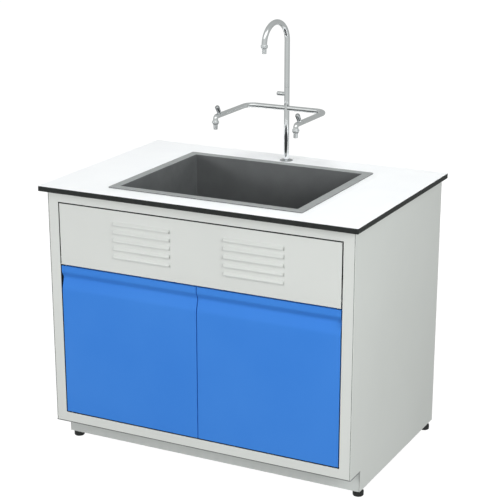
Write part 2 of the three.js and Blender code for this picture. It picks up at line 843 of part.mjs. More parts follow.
// A collar nut and the plain nozzle it holds, under the end of an outlet at the group's origin.
function addOutlet(parent, collarName, nozzleName, tubeRadius) {
  const collarTop = collarOverlap;
  const collarLow = collarTop - collarHeight;
  const tubeBore = tubeRadius + touchGap;
  const nozzleSeat = nozzleRadius + seatGap;
  addPiece(parent, collarName, turned([
    [nozzleSeat, collarLow], [collarRadius - collarChamfer, collarLow],
    [collarRadius, collarLow + collarChamfer], [collarRadius, collarTop - collarTopEdge],
    [collarRadius - collarTopEdge, collarTop], [tubeBore, collarTop],
    [tubeBore, -touchGap], [nozzleSeat, -touchGap], [nozzleSeat, collarLow],
  ]), chrome);
  const nozzle = ring(nozzleRadius, nozzleRadius - nozzleWall, collarLow - nozzleLength, -touchGap);
  addPiece(parent, nozzleName, nozzle, chrome);
}

// Tap: column through the worktop, flange above, washer and nut below, and a swivelling swan neck.
function addTapColumn(tap) {
  const under = -coreThickness - facingThickness;
  addPiece(tap, 'tap_flange', turned([
    [columnRadius + seatGap, 0], [tapFlangeRadius, 0], [tapFlangeRadius, tapFlangeHeight / 2],
    [tapFlangeRadius - tapFlangeHeight / 2, tapFlangeHeight], [columnRadius + seatGap, tapFlangeHeight],
    [columnRadius + seatGap, 0],
  ]), chrome);
  const washerTop = under - seatGap;
  const nutTop = washerTop - washerThickness - seatGap;
  const threadBore = columnRadius + seatGap;
  addPiece(tap, 'tap_washer', ring(washerRadius, threadBore, washerTop - washerThickness, washerTop), steel);
  const nutLow = nutTop - tapNutHeight;
  const nut = rod(tapNutRadius, nutLow, nutTop, 0, 0, tapNutSides);
  addPiece(tap, 'tap_nut', cut(nut, rod(threadBore, nutLow - cutOver, nutTop + cutOver)), steel);

  const tube = turned([
    [columnBore, -shankLength], [columnRadius, -shankLength], [columnRadius, swivelHeight],
    [spigotRadius, swivelHeight], [spigotRadius, swivelHeight + spigotLength],
    [columnBore, swivelHeight + spigotLength], [columnBore, -shankLength],
  ]);
  const boss = rodAlongX(mainHandleRadius, -handleBossReach, 0, 0, mainHandleHeight);
  const waterway = rod(columnBore, mainHandleHeight - 2 * columnRadius, mainHandleHeight + 2 * columnRadius);
  const socketEnd = -handleBossReach + spindleLength + touchGap;
  const socket = rodAlongX(
    spindleRadius + runningGap,
    -handleBossReach - cutOver,
    socketEnd,
    0,
    mainHandleHeight,
  );
  addPiece(tap, 'tap_column', cut(join(tube, boss), waterway, socket), chrome);

  const grip = turned([
    [0, -spindleLength], [spindleRadius, -spindleLength], [spindleRadius, touchGap],
    [mainHandleRadius, touchGap], [mainHandleRadius, mainHandleLength - handleChamfer],
    [mainHandleRadius - handleChamfer, mainHandleLength], [0, mainHandleLength],
  ]);
  const handle = addGroup(tap, -handleBossReach, 0, mainHandleHeight);
  handle.rotation.y = -Math.PI / 2;
  addPiece(handle, 'main_handle', grip, chrome);
}

function addSpout(tap) {
  const spout = addGroup(tap, 0, 0, 0);
  spout.rotation.z = THREE.MathUtils.degToRad(spoutTurn);
  const outletStraight = collarOverlap - collarOverBend;
  const start = new THREE.Vector3(0, 0, swivelHeight + touchGap);
  const forward = new THREE.Vector3(0, -1, 0);
  const route = new PipeRoute(start, new THREE.Vector3(0, 0, 1))
    .straight(spoutSpring - start.z)
    .bend(spoutBend, forward, Math.PI, bendSteps)
    .straight(outletStraight);
  addPiece(spout, 'spout', pipeAlong(route, columnRadius, spoutBore), chrome);
  const mouth = addGroup(spout, 0, -2 * spoutBend, spoutSpring - outletStraight);
  addOutlet(mouth, 'spout_collar', 'spout_nozzle', columnRadius);
}

// Side outlets: a bent arm on each side of the column, an elbow body, its handle and its nozzle.
function addSideOutlets(tap) {
  for (const [side, name] of [[-1, 'left'], [1, 'right']]) {
    const outward = new THREE.Vector3(side, 0, 0);
    const forward = new THREE.Vector3(0, -1, 0);
    const armRoute = new PipeRoute(new THREE.Vector3(0, 0, armHeight), outward)
      .straight(armSpread - armBend)
      .bend(armBend, forward, Math.PI / 2, smallBendSteps)
      .straight(armReach - armBend);
    const saddle = rod(columnRadius + touchGap, armHeight - 2 * armRadius, armHeight + 2 * armRadius);
    const arm = cut(pipeAlong(armRoute, armRadius), saddle);
    addPiece(tap, `side_arm_${name}`, arm, chrome);

    const seat = addGroup(tap, side * armSpread, -armReach - touchGap, armHeight);
    const bodyRoute = new PipeRoute(new THREE.Vector3(0, 0, 0), forward)
      .straight(sideBodyLength)
      .bend(sideElbowBend, new THREE.Vector3(0, 0, -1), Math.PI / 2, smallBendSteps)
      .straight(sideOutletDrop + collarOverlap);
    const lean = new THREE.Matrix4().makeRotationX(handleLean);
    lean.setPosition(0, -sideHandleOffset, 0);
    const leaning = (solid) => solid.transform(lean.elements);
    const boss = leaning(rod(sideBossRadius, 0, sideBossReach));
    const socketLow = sideBossReach - spindleLength - touchGap;
    const socket = leaning(rod(spindleRadius + runningGap, socketLow, sideBossReach + cutOver));
    addPiece(seat, `side_body_${name}`, cut(join(pipeAlong(bodyRoute, armRadius), boss), socket), chrome);

    const handle = addGroup(seat, 0, -sideHandleOffset, 0);
    handle.rotation.x = handleLean;
    const low = sideBossReach + touchGap;
    const top = low + sideHandleLength;
    addPiece(handle, `side_handle_${name}`, turned([
      [0, low - spindleLength], [spindleRadius, low - spindleLength], [spindleRadius, low],
      [sideHandleFootRadius, low], ...domePoints(sideHandleRadius, top - sideHandleDome, top),
    ]), chrome);

    const mouthY = -sideBodyLength - sideElbowBend;
    const mouthZ = -sideElbowBend - sideOutletDrop - collarOverlap;
    const mouth = addGroup(seat, 0, mouthY, mouthZ);
    addOutlet(mouth, `side_collar_${name}`, `side_nozzle_${name}`, armRadius);
  }
}

function addTap() {
  const tap = addGroup(unit, 0, tapY, worktopHeight);
  addTapColumn(tap);
  addSpout(tap);
  addSideOutlets(tap);
}

addSidePanels();
addFrontFrame();
addMidRail();
addVentPanel();
addBottomPanel();
addPlinth();
addBack();
addFeet();
addWorktop();
addDoors();
addSink();
addTrap();
addTap();

export default unit;
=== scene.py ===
import bmesh
import bpy
import numpy as np
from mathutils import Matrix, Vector, geometry


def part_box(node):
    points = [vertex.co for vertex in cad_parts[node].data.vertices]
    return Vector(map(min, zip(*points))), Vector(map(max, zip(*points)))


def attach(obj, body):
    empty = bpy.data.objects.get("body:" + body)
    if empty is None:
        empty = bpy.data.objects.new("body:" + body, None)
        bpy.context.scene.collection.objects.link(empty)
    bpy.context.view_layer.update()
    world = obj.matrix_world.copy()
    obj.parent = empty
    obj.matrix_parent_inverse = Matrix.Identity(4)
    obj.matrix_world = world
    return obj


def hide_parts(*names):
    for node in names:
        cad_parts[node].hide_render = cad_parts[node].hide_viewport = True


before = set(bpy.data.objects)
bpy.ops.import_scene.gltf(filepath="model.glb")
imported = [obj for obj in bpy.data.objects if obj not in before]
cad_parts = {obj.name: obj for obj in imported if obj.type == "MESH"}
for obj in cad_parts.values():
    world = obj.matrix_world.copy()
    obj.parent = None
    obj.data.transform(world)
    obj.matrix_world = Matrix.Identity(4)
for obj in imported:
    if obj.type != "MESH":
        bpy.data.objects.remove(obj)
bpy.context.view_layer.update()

# Stage: a pale floor in a grey studio with one bright window, lit by soft boxes round it and one overhead.
# A camera with a long lens stands to the right of the front, above the worktop, and sees a white backdrop.
scene = bpy.context.scene
scene.view_settings.view_transform = "Standard"

camera_place = (2.1205, -4.1394, 2.0579)
camera_yaw = 0.4708
camera_pitch = 0.3245
camera = bpy.data.cameras.new("camera")
camera.lens = 106.94
camera.shift_y = 0.0982
viewer = bpy.data.objects.new("camera", camera)
viewer.location = camera_place
viewer.rotation_euler = (np.pi / 2 - camera_pitch, 0, camera_yaw)
scene.collection.objects.link(viewer)
scene.camera = viewer

world = bpy.data.worlds.new("studio")
scene.world = world
world.use_nodes = True
sky = world.node_tree
sky_direction = sky.nodes.new("ShaderNodeTexCoord")


def towards(axis, stops):
    """A ramp over the sky: each stop gives the grey where a direction's cosine to the axis has a value."""
    cosine = sky.nodes.new("ShaderNodeVectorMath")
    cosine.operation = "DOT_PRODUCT"
    cosine.inputs[1].default_value = axis
    share = sky.nodes.new("ShaderNodeMapRange")
    share.inputs["From Min"].default_value = -1
    ramp = sky.nodes.new("ShaderNodeValToRGB")
    while len(ramp.color_ramp.elements) < len(stops):
        ramp.color_ramp.elements.new(0.5)
    for element, (position, grey) in zip(ramp.color_ramp.elements, stops):
        element.position = (position + 1) / 2
        element.color = (grey, grey, grey, 1)
    sky.links.new(sky_direction.outputs["Generated"], cosine.inputs[0])
    sky.links.new(cosine.outputs["Value"], share.inputs["Value"])
    sky.links.new(share.outputs["Result"], ramp.inputs["Fac"])
    return ramp.outputs["Color"]


def blended(kind, share, first, second):
    """Two colours of the sky blended in a way by a share."""
    mix = sky.nodes.new("ShaderNodeMixRGB")
    mix.blend_type = kind
    for socket, value in (("Fac", share), ("Color1", first), ("Color2", second)):
        if isinstance(value, bpy.types.NodeSocket):
            sky.links.new(value, mix.inputs[socket])
        else:
            mix.inputs[socket].default_value = value
    return mix.outputs["Color"]


window_side = (0.37, -0.93, 0)
window_light = (1.3, 1.3, 1.28, 1)
room_tint = (0.985, 1.015, 1, 1)
backdrop_white = (1, 1, 1, 1)
lighting_share = 0.25
room = towards(window_side, ((-1, 0.42), (-0.5, 0.44), (0.3, 0.50), (1, 0.60)))
room = blended("MULTIPLY", 1, room, room_tint)
window_height = towards((0, 0, 1), ((0.34, 0), (0.42, 1), (0.78, 1), (0.86, 0)))
window_width = towards(window_side, ((0.40, 0), (0.52, 1)))
window = blended("MULTIPLY", 1, window_height, window_width)
sky_colour = blended("MIX", window, room, window_light)
ray = sky.nodes.new("ShaderNodeLightPath")
sky_colour = blended("MIX", ray.outputs["Is Camera Ray"], sky_colour, backdrop_white)
sky.links.new(sky_colour, sky.nodes["Background"].inputs["Color"])
looked_at = sky.nodes.new("ShaderNodeMath")
looked_at.operation = "ADD"
sky.links.new(ray.outputs["Is Glossy Ray"], looked_at.inputs[0])
sky.links.new(ray.outputs["Is Camera Ray"], looked_at.inputs[1])
sky_share = sky.nodes.new("ShaderNodeMapRange")
sky_share.inputs["To Min"].default_value = lighting_share
sky.links.new(looked_at.outputs["Value"], sky_share.inputs["Value"])
sky.links.new(sky_share.outputs["Result"], sky.nodes["Background"].inputs["Strength"])


unit_middle = Vector((0, 0, 0.7))


def add_soft_box(name, place, size, power, tint=(1, 1, 1)):
    """A square lamp at a place, turned so that its face looks at the unit's middle."""
    lamp = bpy.data.lights.new(name, "AREA")
    lamp.size = size
    lamp.energy = power
    lamp.color = tint
    box = bpy.data.objects.new(name, lamp)
    box.location = place
    aim = unit_middle - Vector(place)
    box.rotation_euler = aim.to_track_quat("-Z", "Y").to_euler()
    box.visible_glossy = False
    scene.collection.objects.link(box)


add_soft_box("soft_box_key", (-2.2, -4.2, 1.5), 0.5, 48)
add_soft_box("soft_box_front", (-2.2, -4.2, 1.1), 2.5, 65)
add_soft_box("soft_box_right", (3.6, -2.3, 1.8), 2.5, 141, (0.975, 1, 0.99))
add_soft_box("soft_box_back", (0.8, 4.6, 1.8), 2.5, 130)
add_soft_box("soft_box_left", (-4.6, 0.6, 1.6), 2.5, 90)
add_soft_box("soft_box_top", (0.15, -0.2, 4.0), 1.6, 70, (0.985, 1, 1))

floor_half = 30
floor_mesh = bpy.data.meshes.new("floor")
floor_corners = [(-floor_half, -floor_half, 0), (floor_half, -floor_half, 0),
                 (floor_half, floor_half, 0), (-floor_half, floor_half, 0)]
floor_mesh.from_pydata(floor_corners, [], [(0, 1, 2, 3)])
floor = bpy.data.objects.new("floor", floor_mesh)
scene.collection.objects.link(floor)
floor_white = bpy.data.materials.new("floor_white")
floor_white.use_nodes = True
floor_shader = floor_white.node_tree.nodes["Principled BSDF"]
floor_shader.inputs["Base Color"].default_value = (0.06, 0.06, 0.06, 1)
floor_shader.inputs["Roughness"].default_value = 0.9
floor_shader.inputs["Emission Color"].default_value = (1, 1, 1, 1)
floor_shader.inputs["Emission Strength"].default_value = 1.0
floor_mesh.materials.append(floor_white)
floor.visible_glossy = False
floor.visible_diffuse = False

# Side panels: two shallow trays folded from steel sheet, with a toe notch, powder coated light grey.
# Their returns point inwards; at the front and the notch these stand back behind the frame and the plinth.
mm = 0.001
sheet = 1.5 * mm
sheet_edge = 0.3 * mm
fold_radius = 1 * mm
inner_fold = 0.5 * mm
sharp_angle = np.radians(35)


def seen(red, green, blue):
    """A colour as it looks on a screen, from 0 to 255, turned into the light that it stands for."""
    screen = np.array([red, green, blue]) / 255
    light = np.where(screen < 0.04045, screen / 12.92, ((screen + 0.055) / 1.055) ** 2.4)
    return (*light, 1)


def surface_finish(name, tones, blotch, gloss, grain, height, stretch=(1, 1, 1), fixed=()):
    """A finish on Object coordinates. A slow noise blends two tones in blotches of a size, a second
    noise moves the roughness between two values, and a fine noise of the grain's size raises a bump."""
    noise_low, noise_high = 0.3, 0.7
    finish = bpy.data.materials.new(name)
    finish.use_nodes = True
    tree = finish.node_tree
    shader = tree.nodes["Principled BSDF"]
    for socket, value in fixed:
        shader.inputs[socket].default_value = value
    place = tree.nodes.new("ShaderNodeTexCoord")
    drawn = tree.nodes.new("ShaderNodeMapping")
    drawn.inputs["Scale"].default_value = stretch
    tree.links.new(place.outputs["Object"], drawn.inputs["Vector"])

    def noise(size, detail):
        texture = tree.nodes.new("ShaderNodeTexNoise")
        texture.inputs["Scale"].default_value = 1 / size
        texture.inputs["Detail"].default_value = detail
        tree.links.new(drawn.outputs["Vector"], texture.inputs["Vector"])
        return texture.outputs["Fac"]

    blend = tree.nodes.new("ShaderNodeValToRGB")
    for element, position, tone in zip(blend.color_ramp.elements, (noise_low, noise_high), tones):
        element.position = position
        element.color = tone
    tree.links.new(noise(blotch, 4), blend.inputs["Fac"])
    tree.links.new(blend.outputs["Color"], shader.inputs["Base Color"])
    shine = tree.nodes.new("ShaderNodeMapRange")
    shine.inputs["From Min"].default_value = noise_low
    shine.inputs["From Max"].default_value = noise_high
    shine.inputs["To Min"].default_value = gloss[0]
    shine.inputs["To Max"].default_value = gloss[1]
    tree.links.new(noise(blotch / 3, 3), shine.inputs["Value"])
    tree.links.new(shine.outputs["Result"], shader.inputs["Roughness"])
    bump = tree.nodes.new("ShaderNodeBump")
    bump.inputs["Distance"].default_value = height
    tree.links.new(noise(grain, 2), bump.inputs["Height"])
    tree.links.new(bump.outputs["Normal"], shader.inputs["Normal"])
    return finish


def rounded(corners, radius, closed=False, steps=4):
    """The line through the corners with each one turned into an arc: the arc starts one tangent length
    before the corner and swings evenly about its centre. A radius of 0 keeps the corner."""
    corner = np.asarray(corners, float)
    radii = np.broadcast_to(np.asarray(radius, float), len(corner)).copy()
    if not closed:
        radii[[0, -1]] = 0
    back = np.roll(corner, 1, 0) - corner
    ahead = np.roll(corner, -1, 0) - corner
    back /= np.maximum(np.linalg.norm(back, axis=1, keepdims=True), 1e-12)
    ahead /= np.maximum(np.linalg.norm(ahead, axis=1, keepdims=True), 1e-12)
    turn = np.arccos(np.clip(-(back * ahead).sum(1), -1, 1))
    bent = (radii > 0) & (turn > 1e-6)
    tangent = np.where(bent, radii * np.tan(turn / 2), 0)[:, None]
    inward = back + ahead
    inward /= np.maximum(np.linalg.norm(inward, axis=1, keepdims=True), 1e-9)
    centre = corner + inward * np.where(bent, radii / np.cos(turn / 2), 0)[:, None]
    first = corner + back * tangent - centre
    last = corner + ahead * tangent - centre
    share = np.linspace(0, 1, steps + 1)[None, :, None]
    angle = np.where(bent, turn, 1)[:, None, None]
    swing = np.sin((1 - share) * angle) * first[:, None] + np.sin(share * angle) * last[:, None]
    line = (centre[:, None] + swing / np.sin(angle)).reshape(-1, corner.shape[1])
    kept = np.append(True, np.linalg.norm(np.diff(line, axis=0), axis=1) > 1e-8)
    return line[kept]


def grid_faces(rows, columns, closed_rows=False, closed_columns=False):
    """The four-cornered faces of a grid of points; a closed direction joins its end to its start."""
    row, column = np.meshgrid(
        np.arange(rows if closed_rows else rows - 1),
        np.arange(columns if closed_columns else columns - 1),
        indexing="ij",
    )
    next_row = (row + 1) % rows
    next_column = (column + 1) % columns
    corners = (row * columns + column, row * columns + next_column,
               next_row * columns + next_column, next_row * columns + column)
    return np.stack(corners, -1).reshape(-1, 4).tolist()


def grid_points(x, y, z):
    """The points of a grid from their coordinates, each repeated over the rows or columns that it lacks."""
    return np.stack(np.broadcast_arrays(x, y, z), 2)


def lofted(loops, ring=False):
    """Faces over a stack of closed loops of equal length; a stack that isn't a ring has its ends capped."""
    rows, columns = loops.shape[:2]
    faces = grid_faces(rows, columns, ring, True)
    if not ring:
        faces.append(list(range(columns))[::-1])
        faces.append(list(range((rows - 1) * columns, rows * columns)))
    return loops.reshape(-1, 3), faces


def joined(*parts):
    """Several (points, faces) pairs as one."""
    starts = np.cumsum([0] + [len(points) for points, _ in parts])
    faces = [[start + corner for corner in face]
             for start, (_, part) in zip(starts, parts) for face in part]
    return np.concatenate([points for points, _ in parts]), faces


def add_piece(name, surface, finish, slot, body, *replaced, closed=True):
    """One mesh at the origin from (points, faces): coinciding points are merged, a closed body has its
    faces turned outwards, and edges sharper than the sharp angle stay crisp."""
    points, faces = surface
    mesh = bpy.data.meshes.new(name)
    mesh.from_pydata(points.tolist(), [], faces)
    work = bmesh.new()
    work.from_mesh(mesh)
    bmesh.ops.remove_doubles(work, verts=work.verts, dist=1e-6)
    bmesh.ops.dissolve_degenerate(work, edges=work.edges, dist=1e-7)
    if closed:
        bmesh.ops.recalc_face_normals(work, faces=work.faces)
    work.to_mesh(mesh)
    work.free()
    mesh.shade_smooth()
    mesh.set_sharp_from_angle(angle=sharp_angle)
    mesh.materials.append(finish)
    piece = bpy.data.objects.new(name, mesh)
    scene.collection.objects.link(piece)
    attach(piece, body)
    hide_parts(*replaced)
    return piece


def even_shading(piece):
    """Large flat faces keep their own normal, so only the folds between them look round."""
    piece.modifiers.new("even_shading", "WEIGHTED_NORMAL").keep_sharp = True


grey_coat = surface_finish(
    "grey_powder_coat", (seen(216, 218, 215), seen(220, 222, 219)), 0.35, (0.46, 0.54),
    0.0016, 0.00012, fixed=(("Specular IOR Level", 0.35),),
)
frame_low, frame_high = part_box("front_frame")
plinth_low, plinth_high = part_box("plinth")
support = 20 * mm
return_gap = 2 * mm
return_setback = frame_high.y - frame_low.y + return_gap
for side, name in ((-1, "left"), (1, "right")):
    low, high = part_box(f"side_panel_{name}")
    depth = high.x - low.x
    face = rounded([(0, support), (0, 0), (sheet, 0)], fold_radius)
    fold = rounded(
        [(sheet, 0), (depth, 0), (depth, sheet), (sheet, sheet), (sheet, support)],
        [0, sheet_edge, sheet_edge, inner_fold, 0],
    )
    tray = np.concatenate([face, fold])
    stands_back = np.repeat([0, 1], [len(face), len(fold)])
    outline = np.array([
        (plinth_low.y, low.z), (high.y, low.z), (high.y, high.z),
        (low.y, high.z), (low.y, frame_low.z), (plinth_low.y, frame_low.z),
    ])
    inward = np.array([(1, 1), (-1, 1), (-1, -1), (1, -1), (1, 1), (1, 1)])
    at_front = np.array([1, 0, 0, 1, 1, 1])
    loops = outline + tray[:, 1, None, None] * inward
    loops[:, :, 0] += stands_back[:, None] * at_front * return_setback
    outer_face = high.x if side > 0 else low.x
    across = outer_face - side * tray[:, 0, None]
    panel = add_piece(
        f"folded_side_{name}", lofted(grid_points(across, loops[:, :, 0], loops[:, :, 1])),
        grey_coat, "cabinet_paint", "cabinet", f"side_panel_{name}",
    )
    even_shading(panel)

# Front frame: two stiles and two rails in one face, each a channel folded back on both edges.
# Coated sheet; a black strip in the seam at each side is painted shade for the dark seam line. Its folds
# stand back from the opening and carry a black strip, painted shade for the dark gaps round the doors and
# the vent panel, and a dark grey strip over the edges above the toe space is painted shade for the line
# under them.
door_low, door_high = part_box("door_skin_left")
vent_low, vent_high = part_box("vent_panel")
panel_gap = 3 * mm
opening_half = -door_low.x + panel_gap
opening_low = door_low.z - panel_gap
opening_high = 848 * mm
section_width = 34 * mm
seam = 1.5 * mm
rebate = 5 * mm
face_fold = 0.4 * mm
channel_fold = 0.7 * mm
side_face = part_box("side_panel_right")[1].x
frame_half = side_face - sheet - seam
fold_line = section_width - rebate
frame_back = frame_low.y + sheet
channel = rounded(
    [(0, frame_high.y), (0, frame_low.y), (section_width, frame_low.y), (section_width, frame_back),
     (fold_line, frame_back), (fold_line, frame_high.y), (fold_line - sheet, frame_high.y),
     (fold_line - sheet, frame_back), (sheet, frame_back), (sheet, frame_high.y)],
    [sheet_edge, face_fold, face_fold, sheet_edge, 0,
     sheet_edge, sheet_edge, channel_fold, channel_fold, sheet_edge],
    closed=True,
)
corner_x = np.array([-1, 1, 1, -1])
corner_z = np.array([0, 0, 1, 1])
from_outside = channel[:, 0, None]
from_opening = section_width - from_outside
near_outside = from_outside < section_width / 2
frame_x = corner_x * np.where(near_outside, frame_half - from_outside, opening_half + from_opening)
frame_bottom = np.where(near_outside, frame_low.z + from_outside, opening_low - from_opening)
frame_top = np.where(near_outside, frame_high.z - from_outside, opening_high + from_opening)
frame_z = np.where(corner_z > 0, frame_top, frame_bottom)
front_face = add_piece(
    "folded_front_frame", lofted(grid_points(frame_x, channel[:, 1, None], frame_z), ring=True),
    grey_coat, "cabinet_paint", "cabinet", "front_frame",
)
even_shading(front_face)
# This black is painted shade: it goes on strips laid in the seams and gaps, which are dark only from shade.
painted_shade_black = surface_finish(
    "black_painted_gap_shade", (seen(20, 21, 22), seen(30, 31, 32)), 0.01, (0.75, 0.85), 0.0008, 0.0001,
)
# The strip on the folds round the opening is painted shade for the dark gaps round the doors and the vent
# panel.
shade_strip_depth = 3 * mm
shade_strip_front = frame_back + sheet
shade_strip_from = np.array([rebate, rebate, rebate - shade_strip_depth, rebate - shade_strip_depth])[:, None]
shade_strip_y = np.array([shade_strip_front, frame_high.y, frame_high.y, shade_strip_front])[:, None]
shade_strip_z = np.where(corner_z > 0, opening_high + shade_strip_from, opening_low - shade_strip_from)
shade_strip_points = grid_points(corner_x * (opening_half + shade_strip_from), shade_strip_y, shade_strip_z)
add_piece("opening_shade_strip", lofted(shade_strip_points, ring=True), painted_shade_black, "foot_black", "cabinet")
# The strip in each side seam is painted shade for the dark seam line.
seam_shade_lap = 0.1 * mm
seam_shade_front = 0.3 * mm
seam_shade_back = 4 * mm
seam_shade_x = np.array([-seam_shade_lap, seam + seam_shade_lap, seam + seam_shade_lap, -seam_shade_lap])[None, :]
seam_shade_y = frame_low.y + np.array([seam_shade_front, seam_shade_front, seam_shade_back, seam_shade_back])[None, :]
seam_shade_z = np.array([frame_low.z, frame_high.z])[:, None]
seam_shades = [lofted(grid_points(side * (frame_half + seam_shade_x), seam_shade_y, seam_shade_z)) for side in (-1, 1)]
add_piece("seam_shade_strip", joined(*seam_shades), painted_shade_black, "foot_black", "cabinet")
# A dark grey strip over the lower edges above the toe space: painted shade for the dark line under them.
painted_shade_edging_grey = surface_finish(
    "painted_shade_edging_grey", (seen(112, 114, 114), seen(120, 122, 122)), 0.02, (0.6, 0.7), 0.001, 0.0001,
)
shade_edging_proud = 0.25 * mm
shade_edging_cover = 1.2 * mm
shade_edging_height = 3 * mm
shade_edging_lap = 0.2 * mm
shade_edging_inset = np.array([-shade_edging_proud, -shade_edging_proud, shade_edging_cover, shade_edging_cover])[None, :]
shade_edging_side = np.array([-1, -1, 1, 1])[:, None]
shade_edging_front = np.array([0, 1, 1, 0])[:, None]
shade_edging_x = shade_edging_side * (side_face - shade_edging_inset)
shade_edging_y = np.where(shade_edging_front > 0, frame_low.y + shade_edging_inset, plinth_low.y)
shade_edging_z = frame_low.z + np.array([shade_edging_height, -shade_edging_lap, -shade_edging_lap, shade_edging_height])[None, :]
add_piece(
    "toe_shade_edging", lofted(grid_points(shade_edging_x, shade_edging_y, shade_edging_z)), painted_shade_edging_grey, "foot_black", "cabinet",
)

# Inner steelwork: bottom panel, back panel, rear rail and mid rail, folded and coated like the frame.
# The first three keep their solids; the mid rail's web is cut back at its ends, behind the panel gaps.


def soften(piece, width, segments=2):
    """Rounds the edges that are sharper than the sharp angle, over a width and in a few facets."""
    bevel = piece.modifiers.new("soften", "BEVEL")
    bevel.width = width
    bevel.segments = segments
    bevel.limit_method = "ANGLE"
    bevel.angle_limit = sharp_angle


def dress(node, finish, edge=0.4 * mm):
    """A solid that stays in view: its triangles are welded, its edges rounded a little, and it is coated."""
    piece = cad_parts[node]
    piece.material_slots[0].material = finish
    weld = piece.modifiers.new("weld", "WELD")
    weld.merge_threshold = 1e-6
    soften(piece, edge)


for node in ("bottom_panel", "back_panel", "rear_rail"):
    dress(node, grey_coat)


def thicken(piece, thickness=sheet):
    """Gives an open sheet its thickness, on the side away from its outer face."""
    wall = piece.modifiers.new("sheet", "SOLIDIFY")
    wall.thickness = thickness
    wall.offset = -1
    wall.use_even_offset = True


rail_trim = 1 * mm
web_cut = 18 * mm
rail_low, rail_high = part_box("mid_rail")
rail_low.z += rail_trim
web_half = rail_high.x - web_cut
rail_line = rounded(
    [(rail_high.y, rail_low.z), (rail_low.y, rail_low.z), (rail_low.y, rail_high.z),
     (rail_high.y, rail_high.z)],
    fold_radius,
)
rail_x = np.array([rail_low.x, -web_half, web_half, rail_high.x])
rail_points = grid_points(rail_x[None, :], rail_line[:, 0, None], rail_line[:, 1, None])
rail_faces = np.array(grid_faces(*rail_points.shape[:2])).reshape(-1, len(rail_x) - 1, 4)
on_web = np.diff(rail_line[:, 1]) > 2 * fold_radius
rail_kept = ~(on_web[:, None] & np.array([True, False, True]))
rail = add_piece(
    "folded_mid_rail", (rail_points.reshape(-1, 3), rail_faces[rail_kept].tolist()),
    grey_coat, "cabinet_paint", "cabinet", "mid_rail", closed=False,
)
thicken(rail)
even_shading(rail)

# Vent panel: a coated sheet with two groups of five pressed louvres, lanced below and slit at both ends.
# Its top edge is folded back, carries a black strip, painted shade for the dark gap above it, and hooks over
# the top rail.
louvre_width = 203 * mm
louvre_height = 13.5 * mm
louvre_pitch = 26.8 * mm
louvre_count = 5
louvre_reach = 6.2 * mm
louvre_belly = 6.5 * mm
louvre_bend = 4 * mm
louvre_flat = 2 * mm
lip_share = 0.83
louvre_rise = 167.5 * mm
louvre_top = vent_low.z + louvre_rise
louvre_centres = (-188 * mm, 202 * mm)
face_y = frame_low.y
hook_y = vent_high.y - sheet
vent_trim = 1.3 * mm
foot_trim = 1 * mm
vent_height = 204 * mm
ledge_fold = 0.6 * mm
hook_fold = 0.8 * mm
vent_shade_height = 2.5 * mm
vent_foot = vent_low.z + foot_trim
ledge_z = door_high.z + panel_gap + vent_height - vent_trim
end_wall = np.array([0, 0.3, 0.6]) * mm
wall_share = 0.35
end_shape = np.array([0, wall_share, 1, 1, wall_share, 0])
louvre_x = np.concatenate([end_wall, louvre_width - end_wall[::-1]])
panel_x = np.concatenate(
    [[vent_low.x + vent_trim]] + [centre - louvre_width / 2 + louvre_x for centre in louvre_centres]
    + [[vent_high.x - vent_trim]]
)
swell = np.concatenate([[0], end_shape, end_shape, [0]])
louvre_line = rounded(
    [(0, lip_share * louvre_reach), (louvre_belly, louvre_reach), (louvre_height, 0),
     (louvre_height + louvre_flat, 0)],
    [0, louvre_bend, sheet, 0],
)
louvre_line = np.concatenate([[(0, 0)], louvre_line])
louvre_low = louvre_top - louvre_height - louvre_pitch * np.arange(louvre_count)[::-1]
row_z = np.append(vent_foot, louvre_low[:, None] + louvre_line[:, 0])
row_reach = np.append(0, np.tile(louvre_line[:, 1], louvre_count))
hook = rounded(
    [(face_y, row_z[-1]), (face_y, ledge_z), (hook_y, ledge_z), (hook_y, vent_high.z)],
    [0, ledge_fold, hook_fold, 0],
)[1:]
row_y = np.concatenate([np.full(len(row_z), face_y), hook[:, 0]])
row_z = np.concatenate([row_z, hook[:, 1]])
row_reach = np.append(row_reach, np.zeros(len(hook)))
vent_points = grid_points(panel_x[None, :], row_y[:, None] - row_reach[:, None] * swell, row_z[:, None])
lanced = np.arange(louvre_count) * len(louvre_line) + 1
vent_faces = np.array(grid_faces(*vent_points.shape[:2])).reshape(len(row_z) - 1, -1, 4)
vent_kept = np.ones(vent_faces.shape[:2], bool)
vent_kept[lanced] = False
pressed = np.maximum(row_reach[1:], row_reach[:-1]) > louvre_reach / 4
slit = np.minimum(swell[1:], swell[:-1]) == wall_share
vent_kept[np.ix_(pressed, slit)] = False
vent = add_piece(
    "louvred_vent_panel", (vent_points.reshape(-1, 3), vent_faces[vent_kept].tolist()),
    grey_coat, "cabinet_paint", "cabinet", "vent_panel", closed=False,
)
thicken(vent)
even_shading(vent)
# The black strip on the ledge is painted shade for the dark gap above the vent panel.
vent_shade_top = ledge_z + vent_shade_height
vent_shade_x = np.array([vent_low.x, vent_high.x]) + np.array([1, -1]) * vent_trim
vent_shade_section = np.array([
    (face_y + sheet, ledge_z), (hook_y - sheet, ledge_z), (hook_y - sheet, vent_shade_top),
    (face_y + sheet, vent_shade_top)])
vent_shade_points = grid_points(vent_shade_x[:, None], vent_shade_section[None, :, 0], vent_shade_section[None, :, 1])
add_piece("vent_shade_strip", lofted(vent_shade_points), painted_shade_black, "foot_black", "cabinet")

